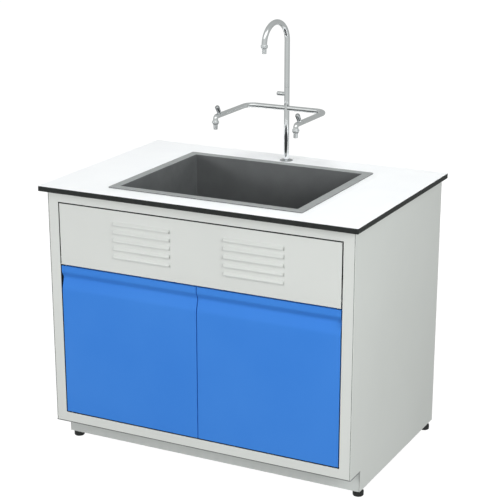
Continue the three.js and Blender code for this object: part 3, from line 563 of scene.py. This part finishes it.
# Plinth: the toe board, folded back along its top edge, where it hangs under the bottom panel.
# It stands behind the toe notch, between the two side panels, in a darker coat than theirs: painted shade
# under the overhang.
# This darker grey is painted shade for the shade under the frame's overhang.
plinth_shaded_coat = surface_finish(
    "plinth_coat_painted_shade", (seen(202, 205, 203), seen(207, 210, 208)), 0.35, (0.46, 0.54),
    0.0016, 0.00012, fixed=(("Specular IOR Level", 0.35),),
)
board = rounded(
    [(plinth_low.y, plinth_low.z), (plinth_low.y, plinth_high.z), (plinth_high.y, plinth_high.z)],
    fold_radius,
)
board_x = np.array([-frame_half, frame_half])
board_points = grid_points(board_x[None, :], board[:, 0, None], board[:, 1, None])
toe_board = add_piece(
    "folded_plinth", (board_points.reshape(-1, 3), grid_faces(*board_points.shape[:2])),
    plinth_shaded_coat, "cabinet_paint", "cabinet", "plinth", closed=False,
)
thicken(toe_board)
even_shading(toe_board)

# Levelling feet: black moulded pads with a rounded edge on zinc-plated threaded stems.
# Each stem is screwed up through a steel bracket inside the cabinet's corner.
pad_radius = 17.5 * mm
pad_height = 19 * mm
pad_edge = 4.4 * mm
stem_radius = 5 * mm
stem_pitch = 1.5 * mm
stem_depth = 0.8 * mm
stem_sink = 1 * mm


def turned(profile, place=(0, 0, 0), axis=(0, 0, 1), sides=48, ribs=None):
    """A (radius, height) profile swung about an axis through a place. Ribs give the wave that each
    profile point's radius gets as (count, depth per point)."""
    axis = np.asarray(axis, float) / np.linalg.norm(axis)
    first = np.cross(axis, (0, 1, 0) if abs(axis[1]) < 0.9 else (1, 0, 0))
    first /= np.linalg.norm(first)
    second = np.cross(axis, first)
    angle = np.linspace(0, 2 * np.pi, sides, endpoint=False)
    radius = np.repeat(profile[:, 0, None], sides, 1)
    if ribs is not None:
        count, ridge = ribs
        radius = radius + np.asarray(ridge)[:, None] * np.cos(count * angle)
    spokes = np.cos(angle)[:, None] * first + np.sin(angle)[:, None] * second
    points = np.asarray(place) + radius[..., None] * spokes + profile[:, 1, None, None] * axis
    return points.reshape(-1, 3), grid_faces(len(profile), sides, False, True)


def rod_section(radius, low, high, low_edge, high_edge, steps=4):
    """A solid rod's (radius, height) profile: out from the axis, up the side and back to the axis, with
    both edges rounded."""
    corners = [(0, low), (radius, low), (radius, high), (0, high)]
    return rounded(corners, [0, low_edge, high_edge, 0], steps=steps)


def threaded(radius, depth, pitch, low, high, place, sides=24, steps=6):
    """A screw thread about a vertical axis: the radius falls by the depth in a triangular wave of height
    over pitch minus turn, and both ends close on the axis."""
    count = int(round((high - low) / pitch * steps))
    level = np.linspace(low, high, count + 1)
    angle = np.linspace(0, 2 * np.pi, sides, endpoint=False)
    phase = (level[:, None] / pitch - angle / (2 * np.pi)) % 1
    radii = radius - depth * np.abs(2 * phase - 1)
    x = place[0] + radii * np.cos(angle)
    y = place[1] + radii * np.sin(angle)
    return lofted(grid_points(x, y, level[:, None]))


black_plastic = surface_finish(
    "black_foot_plastic", (seen(24, 25, 25), seen(34, 35, 35)), 0.02, (0.45, 0.6), 0.0012, 0.0001,
)
zinc = surface_finish(
    "zinc_plate", (seen(168, 171, 173), seen(188, 190, 190)), 0.02, (0.28, 0.42), 0.0009, 0.00003,
    stretch=(1, 1, 0.25), fixed=(("Metallic", 1.0),),
)
pad = rod_section(pad_radius, 0, pad_height, pad_edge, pad_edge, steps=6)
for row in ("front", "rear"):
    for side in ("left", "right"):
        low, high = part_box(f"foot_{row}_{side}")
        centre = ((low.x + high.x) / 2, (low.y + high.y) / 2, 0)
        body = f"levelling_foot_{row}_{side}"
        add_piece(
            f"foot_pad_{row}_{side}", turned(pad, centre), black_plastic, "foot_black", body,
            f"foot_{row}_{side}",
        )
        stem = threaded(stem_radius, stem_depth, stem_pitch, pad_height - stem_sink, high.z, centre)
        add_piece(f"foot_stem_{row}_{side}", stem, zinc, "bare_steel", body)
        dress(f"foot_bracket_{row}_{side}", zinc)

# Worktop: a black compact laminate core with a white facing bonded on, both cut out for the sink and tap.
# The core's underside slopes up to its edge, to shed drips, and the facing's edge is just broken.
top_low, top_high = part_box("worktop_core")
facing_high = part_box("worktop_facing")[1]
sink_low, sink_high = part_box("sink_bowl")
column_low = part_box("tap_column")[0]
worktop_corner = 4 * mm
inner_corner = 0.5 * mm
facing_thickness = 0.4 * mm
facing_edge = 0.25 * mm
bond_edge = 0.05 * mm
core_edge = 0.6 * mm
drip_reach = 8 * mm
drip_rise = 1.3 * mm
drip_bend = 2 * mm
drip_z = top_low.z + drip_rise
bond_z = facing_high.z - facing_thickness
rim_width = 28 * mm
bowl_wall = 6 * mm
cutout_gap = 2 * mm
cutout_corner = 6 * mm
column_radius = 9 * mm
tap_hole = 9.6 * mm
tap_y = column_low.y + column_radius
sink_middle = np.array([0, (sink_low.y + sink_high.y) / 2])
rim_size = np.array([sink_high.x - sink_low.x, sink_high.y - sink_low.y])
cutout_size = rim_size - 2 * (rim_width - bowl_wall - cutout_gap)


def rectangle(middle, size, radius, steps=5):
    """A rectangle's outline in (x, y) with round corners, as many points whatever its size."""
    half = np.asarray(size) / 2
    signs = np.array([(-1, -1), (1, -1), (1, 1), (-1, 1)])
    return rounded(np.asarray(middle) + signs * half, radius, closed=True, steps=steps)


def at_height(outline, level):
    """An outline in (x, y) as a loop of points at one height."""
    return np.column_stack([outline, np.full(len(outline), level)])


def circle(middle, radius, count):
    """Points evenly round a middle in (x, y), the first one in the direction of x."""
    angle = np.linspace(0, 2 * np.pi, count, endpoint=False)
    return np.asarray(middle) + radius * np.column_stack([np.cos(angle), np.sin(angle)])


def flat_fill(level, *outlines):
    """A flat face at a height: the first outline is its edge and the others are holes in it."""
    loops = [[Vector((x, y, level)) for x, y in outline] for outline in outlines]
    points = np.array([point for loop in loops for point in loop])
    return points, [list(face) for face in geometry.tessellate_polygon(loops)]


def slab(edge):
    """The worktop's outline carried along an edge section, a line of (inset, height) points from the
    underside to the top, and closed by the two flats with their two cut-outs."""
    size = np.array([top_high.x - top_low.x, top_high.y - top_low.y])
    low, high = edge[[0, -1], 1]
    loops = np.array([
        at_height(rectangle((0, 0), size - 2 * inset, max(worktop_corner - inset, inner_corner)), level)
        for inset, level in edge
    ])
    holes = [rectangle(sink_middle, cutout_size, cutout_corner), circle((0, tap_y), tap_hole, 32)]
    walls = [(np.concatenate([at_height(hole, low), at_height(hole, high)]),
              grid_faces(2, len(hole), False, True)) for hole in holes]
    rows, columns = loops.shape[:2]
    rim = (loops.reshape(-1, 3), grid_faces(rows, columns, False, True))
    flats = [flat_fill(level, loop[:, :2], *holes)
             for level, loop in ((low, loops[0]), (high, loops[-1]))]
    return joined(rim, *walls, *flats)


black_core = surface_finish(
    "black_compact_core", (seen(28, 30, 29), seen(38, 40, 39)), 0.012, (0.46, 0.58), 0.0006, 0.00004,
    fixed=(("Specular IOR Level", 0.35),),
)
white_facing = surface_finish(
    "white_laminate", (seen(246, 247, 249), seen(250, 251, 252)), 0.15, (0.3, 0.38), 0.0011, 0.00005,
)
core_section = rounded(
    [(support, top_low.z), (drip_reach, top_low.z), (0, drip_z), (0, bond_z), (support, bond_z)],
    [0, drip_bend, core_edge, bond_edge, 0],
)
core = add_piece(
    "compact_core", slab(core_section), black_core, "worktop_black", "cabinet", "worktop_core",
)
even_shading(core)
facing_section = rounded(
    [(support, bond_z), (0, bond_z), (0, facing_high.z), (support, facing_high.z)],
    [0, bond_edge, facing_edge, 0],
)
facing = add_piece(
    "laminate_facing", slab(facing_section), white_facing, "worktop_white", "cabinet", "worktop_facing",
)
even_shading(facing)

# Doors: a blue powder-coated skin folded into a lip and a sloping finger groove along the top,
# with a flat liner behind it. They swing on steel pins in plastic blocks, and magnetic catches hold them.
lip_height = 21.5 * mm
lip_bend = 18 * mm
valley_drop = 39.5 * mm
valley_depth = 10.5 * mm
valley_bend = 14 * mm
groove_foot = 77 * mm
groove_bend = 60 * mm
door_trim = 1.2 * mm
door_edge = 0.3 * mm
pin_hole = 3.3 * mm
pin_reach = 11 * mm
pin_radius = 3 * mm
pin_edge = 0.6 * mm
pivot_x = 476 * mm
pivot_setback = 8 * mm
pivot_y = face_y + pivot_setback
catch_edge = 1 * mm
blue_coat = surface_finish(
    "blue_powder_coat", (seen(60, 129, 219), seen(66, 134, 222)), 0.3, (0.54, 0.62),
    0.0016, 0.00012, fixed=(("Specular IOR Level", 0.25),),
)
white_plastic = surface_finish(
    "white_moulded_plastic", (seen(226, 226, 221), seen(232, 232, 228)), 0.03, (0.38, 0.5), 0.0015, 0.00005,
)


def strip(edge_low, edge_high, left, right):
    """A flat strip between two (y, z) points, carried along x."""
    points = np.array([(left, *edge_low), (right, *edge_low), (right, *edge_high), (left, *edge_high)])
    return points, [[0, 1, 2, 3]]


for side, name in ((-1, "left"), (1, "right")):
    low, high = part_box(f"door_skin_{name}")
    hinge_trim = Vector((door_trim, 0, 0))
    low += Vector((0, 0, door_trim)) + hinge_trim * (side < 0)
    high -= Vector((0, 0, door_trim)) + hinge_trim * (side > 0)
    fold = rounded(
        [(low.y, low.z), (low.y, high.z - groove_foot), (low.y + valley_depth, high.z - valley_drop),
         (low.y, high.z - lip_height), (low.y, high.z)],
        [0, groove_bend, valley_bend, lip_bend, 0], steps=8,
    )
    faces = [strip(a, b, low.x, high.x) for a, b in zip(fold, fold[1:])]
    pin_circle = circle((side * pivot_x, pivot_y), pin_hole, 24)
    flange = np.array([(low.x, low.y), (high.x, low.y), (high.x, high.y), (low.x, high.y)])
    faces += [flat_fill(level, flange, pin_circle) for level in (low.z, high.z)]
    section = np.array([(high.y, low.z), *fold, (high.y, high.z)])
    for x in (low.x, high.x):
        faces.append((np.column_stack([np.full(len(section), x), section]), [list(range(len(section)))]))
    back = strip((high.y, low.z), (high.y, high.z), low.x, high.x)
    skin = add_piece(
        f"blue_door_{name}", joined(*faces, back), blue_coat, "door_paint", f"door_{name}",
        f"door_skin_{name}",
    )
    work = bmesh.new()
    work.from_mesh(skin.data)
    rear = [face for face in work.faces
            if face.normal.y > 0.99 and face.calc_center_median().y > high.y - mm]
    bmesh.ops.delete(work, geom=rear, context="FACES_ONLY")
    work.to_mesh(skin.data)
    work.free()
    thicken(skin)
    soften(skin, door_edge, segments=3)
    even_shading(skin)
    dress(f"door_liner_{name}", blue_coat)
    for end, reach in (("bottom", (low.z - panel_gap - pin_reach, low.z + pin_reach)),
                       ("top", (high.z - pin_reach, high.z + panel_gap + pin_reach))):
        dress(f"hinge_block_{name}_{end}", white_plastic)
        pin = rod_section(pin_radius, *reach, pin_edge, pin_edge)
        add_piece(
            f"steel_pin_{name}_{end}", turned(pin, (side * pivot_x, pivot_y, 0), sides=24),
            zinc, "bare_steel", "cabinet", f"pivot_pin_{name}_{end}",
        )
    dress(f"door_catch_{name}", white_plastic, catch_edge)

# Sink: a grey moulded bowl with a flat raised rim, hung in the worktop's cut-out.
# Its floor falls to the waste and the wall is one thickness all over. The bowl is a darker grey, painted
# shade for its shaded inside, and the rim's top a lighter, smoother grey, painted light where light falls on
# it.
bowl_depth = 290 * mm
bowl_size = rim_size - 2 * rim_width
bowl_corner = 3 * mm
inside_corner = 1.5 * mm
rim_corner = 5 * mm
lit_rim_band = 1.5 * mm
mouth_edge = 2 * mm
rim_edge = 1.2 * mm
seat_edge = 0.3 * mm
seat_fillet = 1 * mm
seat_gap = 0.05 * mm
rim_top = sink_high.z
rim_seat = facing_high.z + seat_gap
bowl_floor = facing_high.z - bowl_depth
bowl_low = sink_low.z
floor_fillet = 10 * mm
inside_fillet = 0.99 * floor_fillet
floor_rings = 7
waste_radius = 25.2 * mm
recess_radius = 38.2 * mm
recess_depth = 1.8 * mm
recess_z = bowl_low + bowl_wall
recess_top = recess_z + recess_depth
quarter_points = 8


def ring_outline(size, radius):
    """A rounded rectangle about the sink's middle, or a circle where the radius is half its size: each
    quarter has half a side, a corner arc and half a side, so all loops match point for point."""
    half = np.asarray(size) / 2
    straight = half - radius
    turn = np.linspace(0, np.pi / 2, quarter_points + 1)
    share = np.linspace(0, 1, quarter_points, endpoint=False)
    side_a = np.column_stack([np.full(quarter_points, half[0]), share * straight[1]])
    arc = straight + radius * np.column_stack([np.cos(turn), np.sin(turn)])
    side_b = np.column_stack([(1 - share)[1:] * straight[0], np.full(quarter_points - 1, half[1])])
    first = np.concatenate([side_a, arc, side_b])
    second = np.concatenate([side_b[::-1] * (-1, 1), arc[::-1] * (-1, 1), side_a[:0:-1] * (-1, 1)])
    upper = np.concatenate([first, [(0, half[1])], second])
    return sink_middle + np.concatenate([upper, -upper])


def circle_outline(radius):
    """A circle about the sink's middle with one point for each point of a ring outline."""
    return circle(sink_middle, radius, len(ring_outline((1, 1), 0.1)))


wall_section = rounded(
    [(0, bowl_floor), (floor_fillet, bowl_floor), (floor_fillet, rim_top),
     (floor_fillet + rim_width, rim_top), (floor_fillet + rim_width, rim_seat),
     (floor_fillet + bowl_wall, rim_seat), (floor_fillet + bowl_wall, bowl_low), (0, bowl_low)],
    [0, inside_fillet, mouth_edge, rim_edge, seat_edge, seat_fillet, floor_fillet, 0], steps=6,
)
section_out = wall_section[:, 0] - floor_fillet
section_radius = np.clip(bowl_corner + section_out, inside_corner, None)
section_radius[section_out > bowl_wall + mm] = rim_corner
wall_loops = [at_height(ring_outline(bowl_size + 2 * out, radius), level)
              for (out, radius, level) in zip(section_out, section_radius, wall_section[:, 1])]
floor_share = np.linspace(0, 1, floor_rings + 2)[1:-1]
foot = wall_loops[0]
drain = at_height(circle_outline(recess_radius), recess_top)
floor_loops = [drain + (foot - drain) * share for share in floor_share]
outlet = at_height(circle_outline(waste_radius), bowl_low)
bowl_loops = [
    outlet, at_height(circle_outline(waste_radius), recess_z),
    at_height(circle_outline(recess_radius), recess_z), drain, *floor_loops, *wall_loops,
]
# One moulded grey in two: the bowl's darker grey is painted shade, the rim's lighter grey painted light.
sink_grey = surface_finish(
    "grey_moulded_polymer", (seen(96, 98, 99), seen(102, 104, 105)), 0.06, (0.5, 0.6), 0.0013, 0.0001,
)
lit_rim_grey = surface_finish(
    "rim_grey_painted_light", (seen(142, 145, 145), seen(150, 153, 153)), 0.06, (0.34, 0.44), 0.0013, 0.00006,
)
bowl = add_piece(
    "moulded_sink", lofted(np.array(bowl_loops), ring=True), sink_grey, "sink_grey", "cabinet", "sink_bowl",
)
# The faces at the rim's top take the lighter grey: painted light.
bowl.data.materials.append(lit_rim_grey)
face_level = np.empty(3 * len(bowl.data.polygons))
bowl.data.polygons.foreach_get("center", face_level)
on_lit_rim = face_level[2::3] > rim_top - lit_rim_band
bowl.data.polygons.foreach_set("material_index", on_lit_rim.astype(np.int32))
even_shading(bowl)

# Waste: a stainless strainer with a cross of bars, let into the bowl's floor, and its back nut below.
# A white plastic bottle trap hangs under it, with a pipe to the wall.
waste_x, waste_y = sink_middle
waste_place = (waste_x, waste_y, 0)
fit = 0.2 * mm
throat_bore = 22 * mm
throat_radius = 25 * mm
strainer_radius = 38 * mm
strainer_flange = 3 * mm
cross_length = 47 * mm
cross_width = 4 * mm
cross_step = 0.1 * mm
cross_edge = 0.8 * mm
cross_corner = 0.48 * mm
throat_edges = np.array([0, 0.5, 0, 0.4, 2, 1.2, 0]) * mm
strainer_low, strainer_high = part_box("waste_strainer")
flange_z = strainer_high.z - strainer_flange
throat = rounded(
    [(throat_bore, strainer_low.z), (throat_radius, strainer_low.z), (throat_radius, flange_z),
     (strainer_radius, flange_z), (strainer_radius, strainer_high.z), (throat_bore, strainer_high.z),
     (throat_bore, strainer_low.z)],
    throat_edges,
)


def bar(size, place, radius, corner):
    """A bar with round edges: rectangles that shrink by a quarter circle towards its bottom and its top."""
    turn = np.linspace(0, np.pi / 2, 5)
    inset = radius * (1 - np.sin(turn))
    rise = radius * (1 - np.cos(turn))
    insets = np.concatenate([inset, inset[::-1]])
    levels = np.concatenate([place[2] + rise, place[2] + size[2] - rise[::-1]])
    return lofted(np.array([
        at_height(rectangle(place[:2], np.array(size[:2]) - 2 * shrink, corner), level)
        for shrink, level in zip(insets, levels)
    ]))


cross_place = (waste_x, waste_y, flange_z)
cross_sizes = ((cross_length, cross_width, strainer_flange),
               (cross_width, cross_length, strainer_flange - cross_step))
cross = [bar(size, cross_place, cross_edge, cross_corner) for size in cross_sizes]
add_piece(
    "steel_strainer", joined(turned(throat, waste_place, sides=64), *cross),
    zinc, "bare_steel", "cabinet", "waste_strainer",
)


def ring_section(bore, radius, low, high, edges):
    """A ring's closed (radius, height) section from its bore to its outside. The edges are the arcs at the
    outer low, the outer high and the inner high corner."""
    corners = [(bore, low), (radius, low), (radius, high), (bore, high), (bore, low)]
    return rounded(corners, [0, *edges, 0])


nut_radius = 35 * mm
nut_edge = 1.5 * mm
nut_rib = 0.9 * mm
nut_low, nut_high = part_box("waste_nut")
nut_section = ring_section(throat_radius + fit, nut_radius, nut_low.z, nut_high.z, (nut_edge, nut_edge, 0))
nut_ribs = np.where(nut_section[:, 0] > nut_radius - 2 * mm, nut_rib, 0)
add_piece(
    "ribbed_waste_nut", turned(nut_section, waste_place, sides=144, ribs=(24, nut_ribs)),
    white_plastic, "plumbing_white", "cabinet", "waste_nut",
)
pipe_bore = 17.5 * mm
pipe_radius = 20 * mm
coupling_radius = 30 * mm
coupling_slope = 13 * mm
coupling_rib = 0.8 * mm
coupling_wall = 2 * mm
tail_edges = np.array([0, 0.8, 2, 3, 1.5, 0.6, 0, 0, 0]) * mm
tail_low, tail_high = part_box("trap_tail_pipe")
coupling_seat = strainer_low.z - fit
coupling_foot = coupling_seat - coupling_wall
tail_section = rounded(
    [(pipe_bore, tail_low.z), (pipe_radius, tail_low.z), (pipe_radius, coupling_foot - coupling_slope),
     (coupling_radius, coupling_foot), (coupling_radius, tail_high.z), (throat_radius + fit, tail_high.z),
     (throat_radius + fit, coupling_seat), (pipe_bore, coupling_seat), (pipe_bore, tail_low.z)],
    tail_edges,
)
on_coupling = (tail_section[:, 0] > coupling_radius - mm) & (tail_section[:, 1] > coupling_foot + mm)
tail_ribs = np.where(on_coupling, coupling_rib, 0)
add_piece(
    "tail_pipe", turned(tail_section, waste_place, sides=144, ribs=(24, tail_ribs)),
    white_plastic, "plumbing_white", "cabinet", "trap_tail_pipe",
)
trap_bore = 32 * mm
trap_radius = 36 * mm
trap_boss = 25 * mm
boss_from = 30 * mm
boss_to = 52 * mm
trap_wall = 4 * mm
trap_edges = np.array([0, 0.8, 6, 1, 0, 0, 0]) * mm
boss_edges = np.array([0, 2, 0.6]) * mm
trap_low, trap_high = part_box("trap_body")
trap_ceiling = trap_high.z - trap_wall
pipe_low, pipe_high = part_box("trap_outlet_pipe")
outlet_place = (waste_x, waste_y, (pipe_low.z + pipe_high.z) / 2)
body_section = rounded(
    [(trap_bore, trap_low.z), (trap_radius, trap_low.z), (trap_radius, trap_high.z),
     (pipe_radius + fit, trap_high.z), (pipe_radius + fit, trap_ceiling), (trap_bore, trap_ceiling),
     (trap_bore, trap_low.z)],
    trap_edges,
)
boss_section = ring_section(pipe_radius + fit, trap_boss, boss_from, boss_to, boss_edges)
add_piece(
    "trap_housing", joined(
        turned(body_section, waste_place, sides=96),
        turned(boss_section, outlet_place, (0, 1, 0), sides=64)),
    white_plastic, "plumbing_white", "cabinet", "trap_body",
)
cup_radius = 35 * mm
cup_fillet = 7 * mm
cup_rib = 0.7 * mm
cup_edges = [0, cup_fillet, 0.8 * mm, 0.5 * mm, 4 * mm, 0]
cup_low, cup_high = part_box("trap_cup")
cup_floor = cup_low.z + trap_wall
cup_section = rounded(
    [(0, cup_low.z), (cup_radius, cup_low.z), (cup_radius, cup_high.z), (trap_bore, cup_high.z),
     (trap_bore, cup_floor), (0, cup_floor)],
    cup_edges,
)
on_cup_side = (cup_section[:, 0] > cup_radius - mm) & (cup_section[:, 1] > cup_low.z + cup_fillet - mm)
cup_ribs = np.where(on_cup_side, cup_rib, 0)
add_piece(
    "ribbed_trap_cup", turned(cup_section, waste_place, sides=180, ribs=(30, cup_ribs)),
    white_plastic, "plumbing_white", "cabinet", "trap_cup",
)
pipe_edges = np.array([0.5, 0.8, 0.5]) * mm
pipe_section = ring_section(pipe_bore, pipe_radius, pipe_low.y, pipe_high.y, pipe_edges)
add_piece(
    "wall_pipe", turned(pipe_section, (waste_x, 0, outlet_place[2]), (0, 1, 0), sides=64),
    white_plastic, "plumbing_white", "cabinet", "trap_outlet_pipe",
)

# Tap column: a chromed brass tube on a domed flange, clamped to the worktop by a washer and a nut on
# its threaded shank. A stub handle on its left opens the spout's valve.
chrome = surface_finish(
    "polished_chrome", (seen(240, 242, 243), seen(244, 246, 247)), 0.03, (0.05, 0.1), 0.004, 0.000001,
    fixed=(("Metallic", 1.0),),
)
satin_chrome = surface_finish(
    "satin_chrome", (seen(214, 217, 218), seen(222, 225, 226)), 0.03, (0.38, 0.48), 0.003, 0.000002,
    fixed=(("Metallic", 0.7),),
)
grey_chrome = surface_finish(
    "grey_brushed_chrome", (seen(188, 191, 193), seen(198, 201, 203)), 0.02, (0.16, 0.24), 0.003, 0.000002,
    fixed=(("Metallic", 1.0),),
)
swivel_z = 1150 * mm
turning_gap = 0.3 * mm
joint_edge = 0.4 * mm
tap_place = (0, tap_y, 0)
flange_brim = 1.6 * mm
flange_collar = 5 * mm
flange_fall = 0.2 * mm
flange_edges = np.array([0, 0.3, 1.2, 2, 0]) * mm
flange_low, flange_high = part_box("tap_flange")
flange_radius = flange_high.x
flange_section = rounded(
    [(column_radius, flange_low.z), (flange_radius, flange_low.z),
     (flange_radius, flange_low.z + flange_brim),
     (column_radius + flange_collar, flange_high.z - flange_fall), (column_radius, flange_high.z)],
    flange_edges, steps=5,
)
add_piece(
    "chrome_flange", turned(flange_section, tap_place, sides=72), grey_chrome, "tap_chrome", "cabinet",
    "tap_flange", closed=False,
)
washer_edge = 0.6 * mm
washer_low, washer_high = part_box("tap_washer")
washer_section = ring_section(
    column_radius + fit, washer_high.x, washer_low.z, washer_high.z, (washer_edge, washer_edge, 0))
add_piece(
    "clamp_washer", turned(washer_section, tap_place, sides=48),
    zinc, "bare_steel", "cabinet", "tap_washer",
)
clamp_nut_edge = 0.8 * mm
dress("tap_nut", zinc, clamp_nut_edge)
shank_depth = 0.8 * mm
shank_pitch = 1.8 * mm
shank_cover = 2 * mm
shank_edge = 0.2 * mm
swivel_edge = 0.5 * mm
shank_top = top_low.z - shank_cover
column_section = rod_section(column_radius, shank_top, swivel_z, shank_edge, swivel_edge)
handle_low, handle_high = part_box("main_handle")
handle_z = (handle_low.z + handle_high.z) / 2
handle_radius = 7 * mm
handle_dome = 3 * mm
stub_root = 4 * mm
boss_reach = 13 * mm
stub_section = rounded(
    [(handle_radius, stub_root), (handle_radius, boss_reach), (0, boss_reach)], [0, joint_edge, 0],
)
shank = threaded(column_radius, shank_depth, shank_pitch, column_low.z, shank_top, (0, tap_y), sides=32)
add_piece(
    "chrome_column", joined(
        turned(column_section, tap_place, sides=64), shank,
        turned(stub_section, (0, tap_y, handle_z), (-1, 0, 0), sides=48)),
    chrome, "tap_chrome", "cabinet", "tap_column",
)
handle_section = rod_section(
    handle_radius, boss_reach + turning_gap, -handle_low.x, joint_edge, handle_dome, steps=6)
add_piece(
    "stub_handle", turned(handle_section, (0, tap_y, handle_z), (-1, 0, 0), sides=48),
    chrome, "tap_chrome", "column_handle", "main_handle",
)

# Swan neck: a chromed tube that turns on top of the column and bends over the sink in a half circle.
# A collar nut holds a plain nozzle at its end.
neck_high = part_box("spout")[1]
neck_bend = 67 * mm
neck_turn = np.radians(-8)
outlet_straight = 7 * mm
spring_z = neck_high.z - neck_bend - column_radius
forward = np.array([np.sin(neck_turn), -np.cos(neck_turn), 0])
upward = np.array([0, 0, 1])


def swept(route, normal, radius, sides=48, start=None):
    """A round bar along a route that lies in one plane: circles about each point, spanned by the
    plane's normal and the direction square to the route. A start moves the first circle's points
    along the route, so that the bar fits a round neighbour."""
    along = np.gradient(route, axis=0)
    along /= np.linalg.norm(along, axis=1, keepdims=True)
    across = np.cross(normal, along)
    angle = np.linspace(0, 2 * np.pi, sides, endpoint=False)
    spread = np.cos(angle)[None, :, None] * across[:, None] + np.sin(angle)[None, :, None] * normal
    points = route[:, None] + np.broadcast_to(radius, len(route))[:, None, None] * spread
    if start is not None:
        points[0] += start(points[0])[:, None] * along[0]
    return lofted(points)


def arc_route(start, heading, towards, radius, angle, before, after, steps):
    """A straight run, an arc that turns from its heading towards a side, and another straight run."""
    turn = np.linspace(0, angle, steps + 1)[:, None]
    begin = np.asarray(start) + before * heading
    curve = begin + radius * (np.sin(turn) * heading + (1 - np.cos(turn)) * towards)
    end_heading = np.cos(angle) * heading + np.sin(angle) * towards
    return np.concatenate([[start], curve, [curve[-1] + after * end_heading]])


neck_foot = swivel_z + turning_gap
neck_route = arc_route(
    np.array([0, tap_y, neck_foot]), upward, forward, neck_bend, np.pi,
    spring_z - neck_foot, outlet_straight, 48,
)
add_piece(
    "swan_neck_tube", swept(neck_route, np.cross(upward, forward), column_radius, 64),
    chrome, "tap_chrome", "swan_neck", "spout",
)
collar_radius = 11.7 * mm
collar_taper = 3.2 * mm
collar_foot = 5 * mm
collar_fall = 0.2 * mm
collar_shoulder = 3 * mm
collar_lip = 0.3 * mm
collar_edges = np.array([0, 0.6, 2.4, 2, 0.3, 0]) * mm
nozzle_radius = 7.2 * mm
nozzle_bore = 5.2 * mm
nozzle_edge = 0.8 * mm
nozzle_sink = 2 * mm


def add_outlet(collar, nozzle, place, tube_radius, body, collar_node, nozzle_node):
    """A bulged collar nut and the plain nozzle below it, about a vertical axis."""
    low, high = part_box(collar_node)
    nozzle_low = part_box(nozzle_node)[0]
    collar_section = rounded(
        [(0, low.z), (collar_radius - collar_taper, low.z), (collar_radius, low.z + collar_foot),
         (collar_radius - collar_fall, high.z - collar_shoulder), (tube_radius + collar_lip, high.z),
         (0, high.z)],
        collar_edges, steps=5,
    )
    add_piece(
        collar, turned(collar_section, place, sides=64), satin_chrome, "tap_chrome", body, collar_node,
    )
    nozzle_section = ring_section(
        nozzle_bore, nozzle_radius, nozzle_low.z, low.z + nozzle_sink, (nozzle_edge, 0, 0))
    add_piece(
        nozzle, turned(nozzle_section, place, sides=48), satin_chrome, "tap_chrome", body, nozzle_node,
    )


neck_end = neck_route[-1]
add_outlet(
    "neck_collar", "neck_nozzle", (neck_end[0], neck_end[1], 0), column_radius,
    "swan_neck", "spout_collar", "spout_nozzle",
)

# Side outlets: a chromed bar bent forwards on each side of the column, with an elbow, a leaning
# capsule-shaped handle, a collar nut and a nozzle at each end.
arm_radius = 8.2 * mm
arm_spread = 144.5 * mm
arm_bend = 34 * mm
elbow_bend = 10 * mm
elbow_straight = 30.5 * mm
elbow_drop = 9.5 * mm
handle_offset = 8.5 * mm
handle_lean = np.radians(35)
handle_boss = 6.8 * mm
boss_root = 2 * mm
boss_clearance = 0.6 * mm
lean_axis = np.array([0, -np.sin(handle_lean), np.cos(handle_lean)])
front_heading = np.array([0.0, -1.0, 0.0])
capsule_radius = 8.2 * mm
capsule_foot = 7 * mm
capsule_length = 25 * mm
capsule_dome = 7.4 * mm
capsule_edge = 0.8 * mm


def on_column(points):
    """How far along the bar its first circle starts, so that it lies on the column's round surface."""
    return np.sqrt(column_radius ** 2 - (points[:, 1] - tap_y) ** 2)


for side, name in ((-1, "left"), (1, "right")):
    arm_low, arm_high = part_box(f"side_arm_{name}")
    body_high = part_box(f"side_body_{name}")[1]
    arm_z = (arm_low.z + arm_high.z) / 2
    outward = np.array([side, 0.0, 0.0])
    arm_route = arc_route(
        np.array([0, tap_y, arm_z]), outward, front_heading, arm_bend, np.pi / 2,
        arm_spread - arm_bend, tap_y - arm_bend - arm_low.y, 16,
    )
    add_piece(
        f"chrome_arm_{name}", swept(arm_route, upward, arm_radius, start=on_column),
        chrome, "tap_chrome", "cabinet", f"side_arm_{name}",
    )
    elbow_start = np.array([side * arm_spread, body_high.y, arm_z])
    elbow_route = arc_route(
        elbow_start, front_heading, -upward, elbow_bend, np.pi / 2, elbow_straight, elbow_drop, 12,
    )
    handle_root = elbow_start + handle_offset * front_heading
    boss_rise = arm_radius + boss_clearance + capsule_foot * np.sin(handle_lean)
    boss_height = boss_rise / np.cos(handle_lean)
    boss = rounded(
        [(handle_boss, boss_root), (handle_boss, boss_height), (0, boss_height)], [0, joint_edge, 0],
    )
    add_piece(
        f"chrome_elbow_{name}", joined(
            swept(elbow_route, np.array([1.0, 0, 0]), arm_radius), turned(boss, handle_root, lean_axis)),
        chrome, "tap_chrome", "cabinet", f"side_body_{name}",
    )
    foot = boss_height + turning_gap
    capsule = rounded(
        [(0, foot), (capsule_foot, foot), (capsule_radius, foot + capsule_length),
         (0, foot + capsule_length)],
        [0, capsule_edge, capsule_dome, 0], steps=8,
    )
    add_piece(
        f"capsule_handle_{name}", turned(capsule, handle_root, lean_axis),
        grey_chrome, "tap_chrome", f"{name}_outlet_handle", f"side_handle_{name}",
    )
    mouth = elbow_route[-1]
    add_outlet(
        f"outlet_collar_{name}", f"outlet_nozzle_{name}", (mouth[0], mouth[1], 0), arm_radius,
        "cabinet", f"side_collar_{name}", f"side_nozzle_{name}",
    )
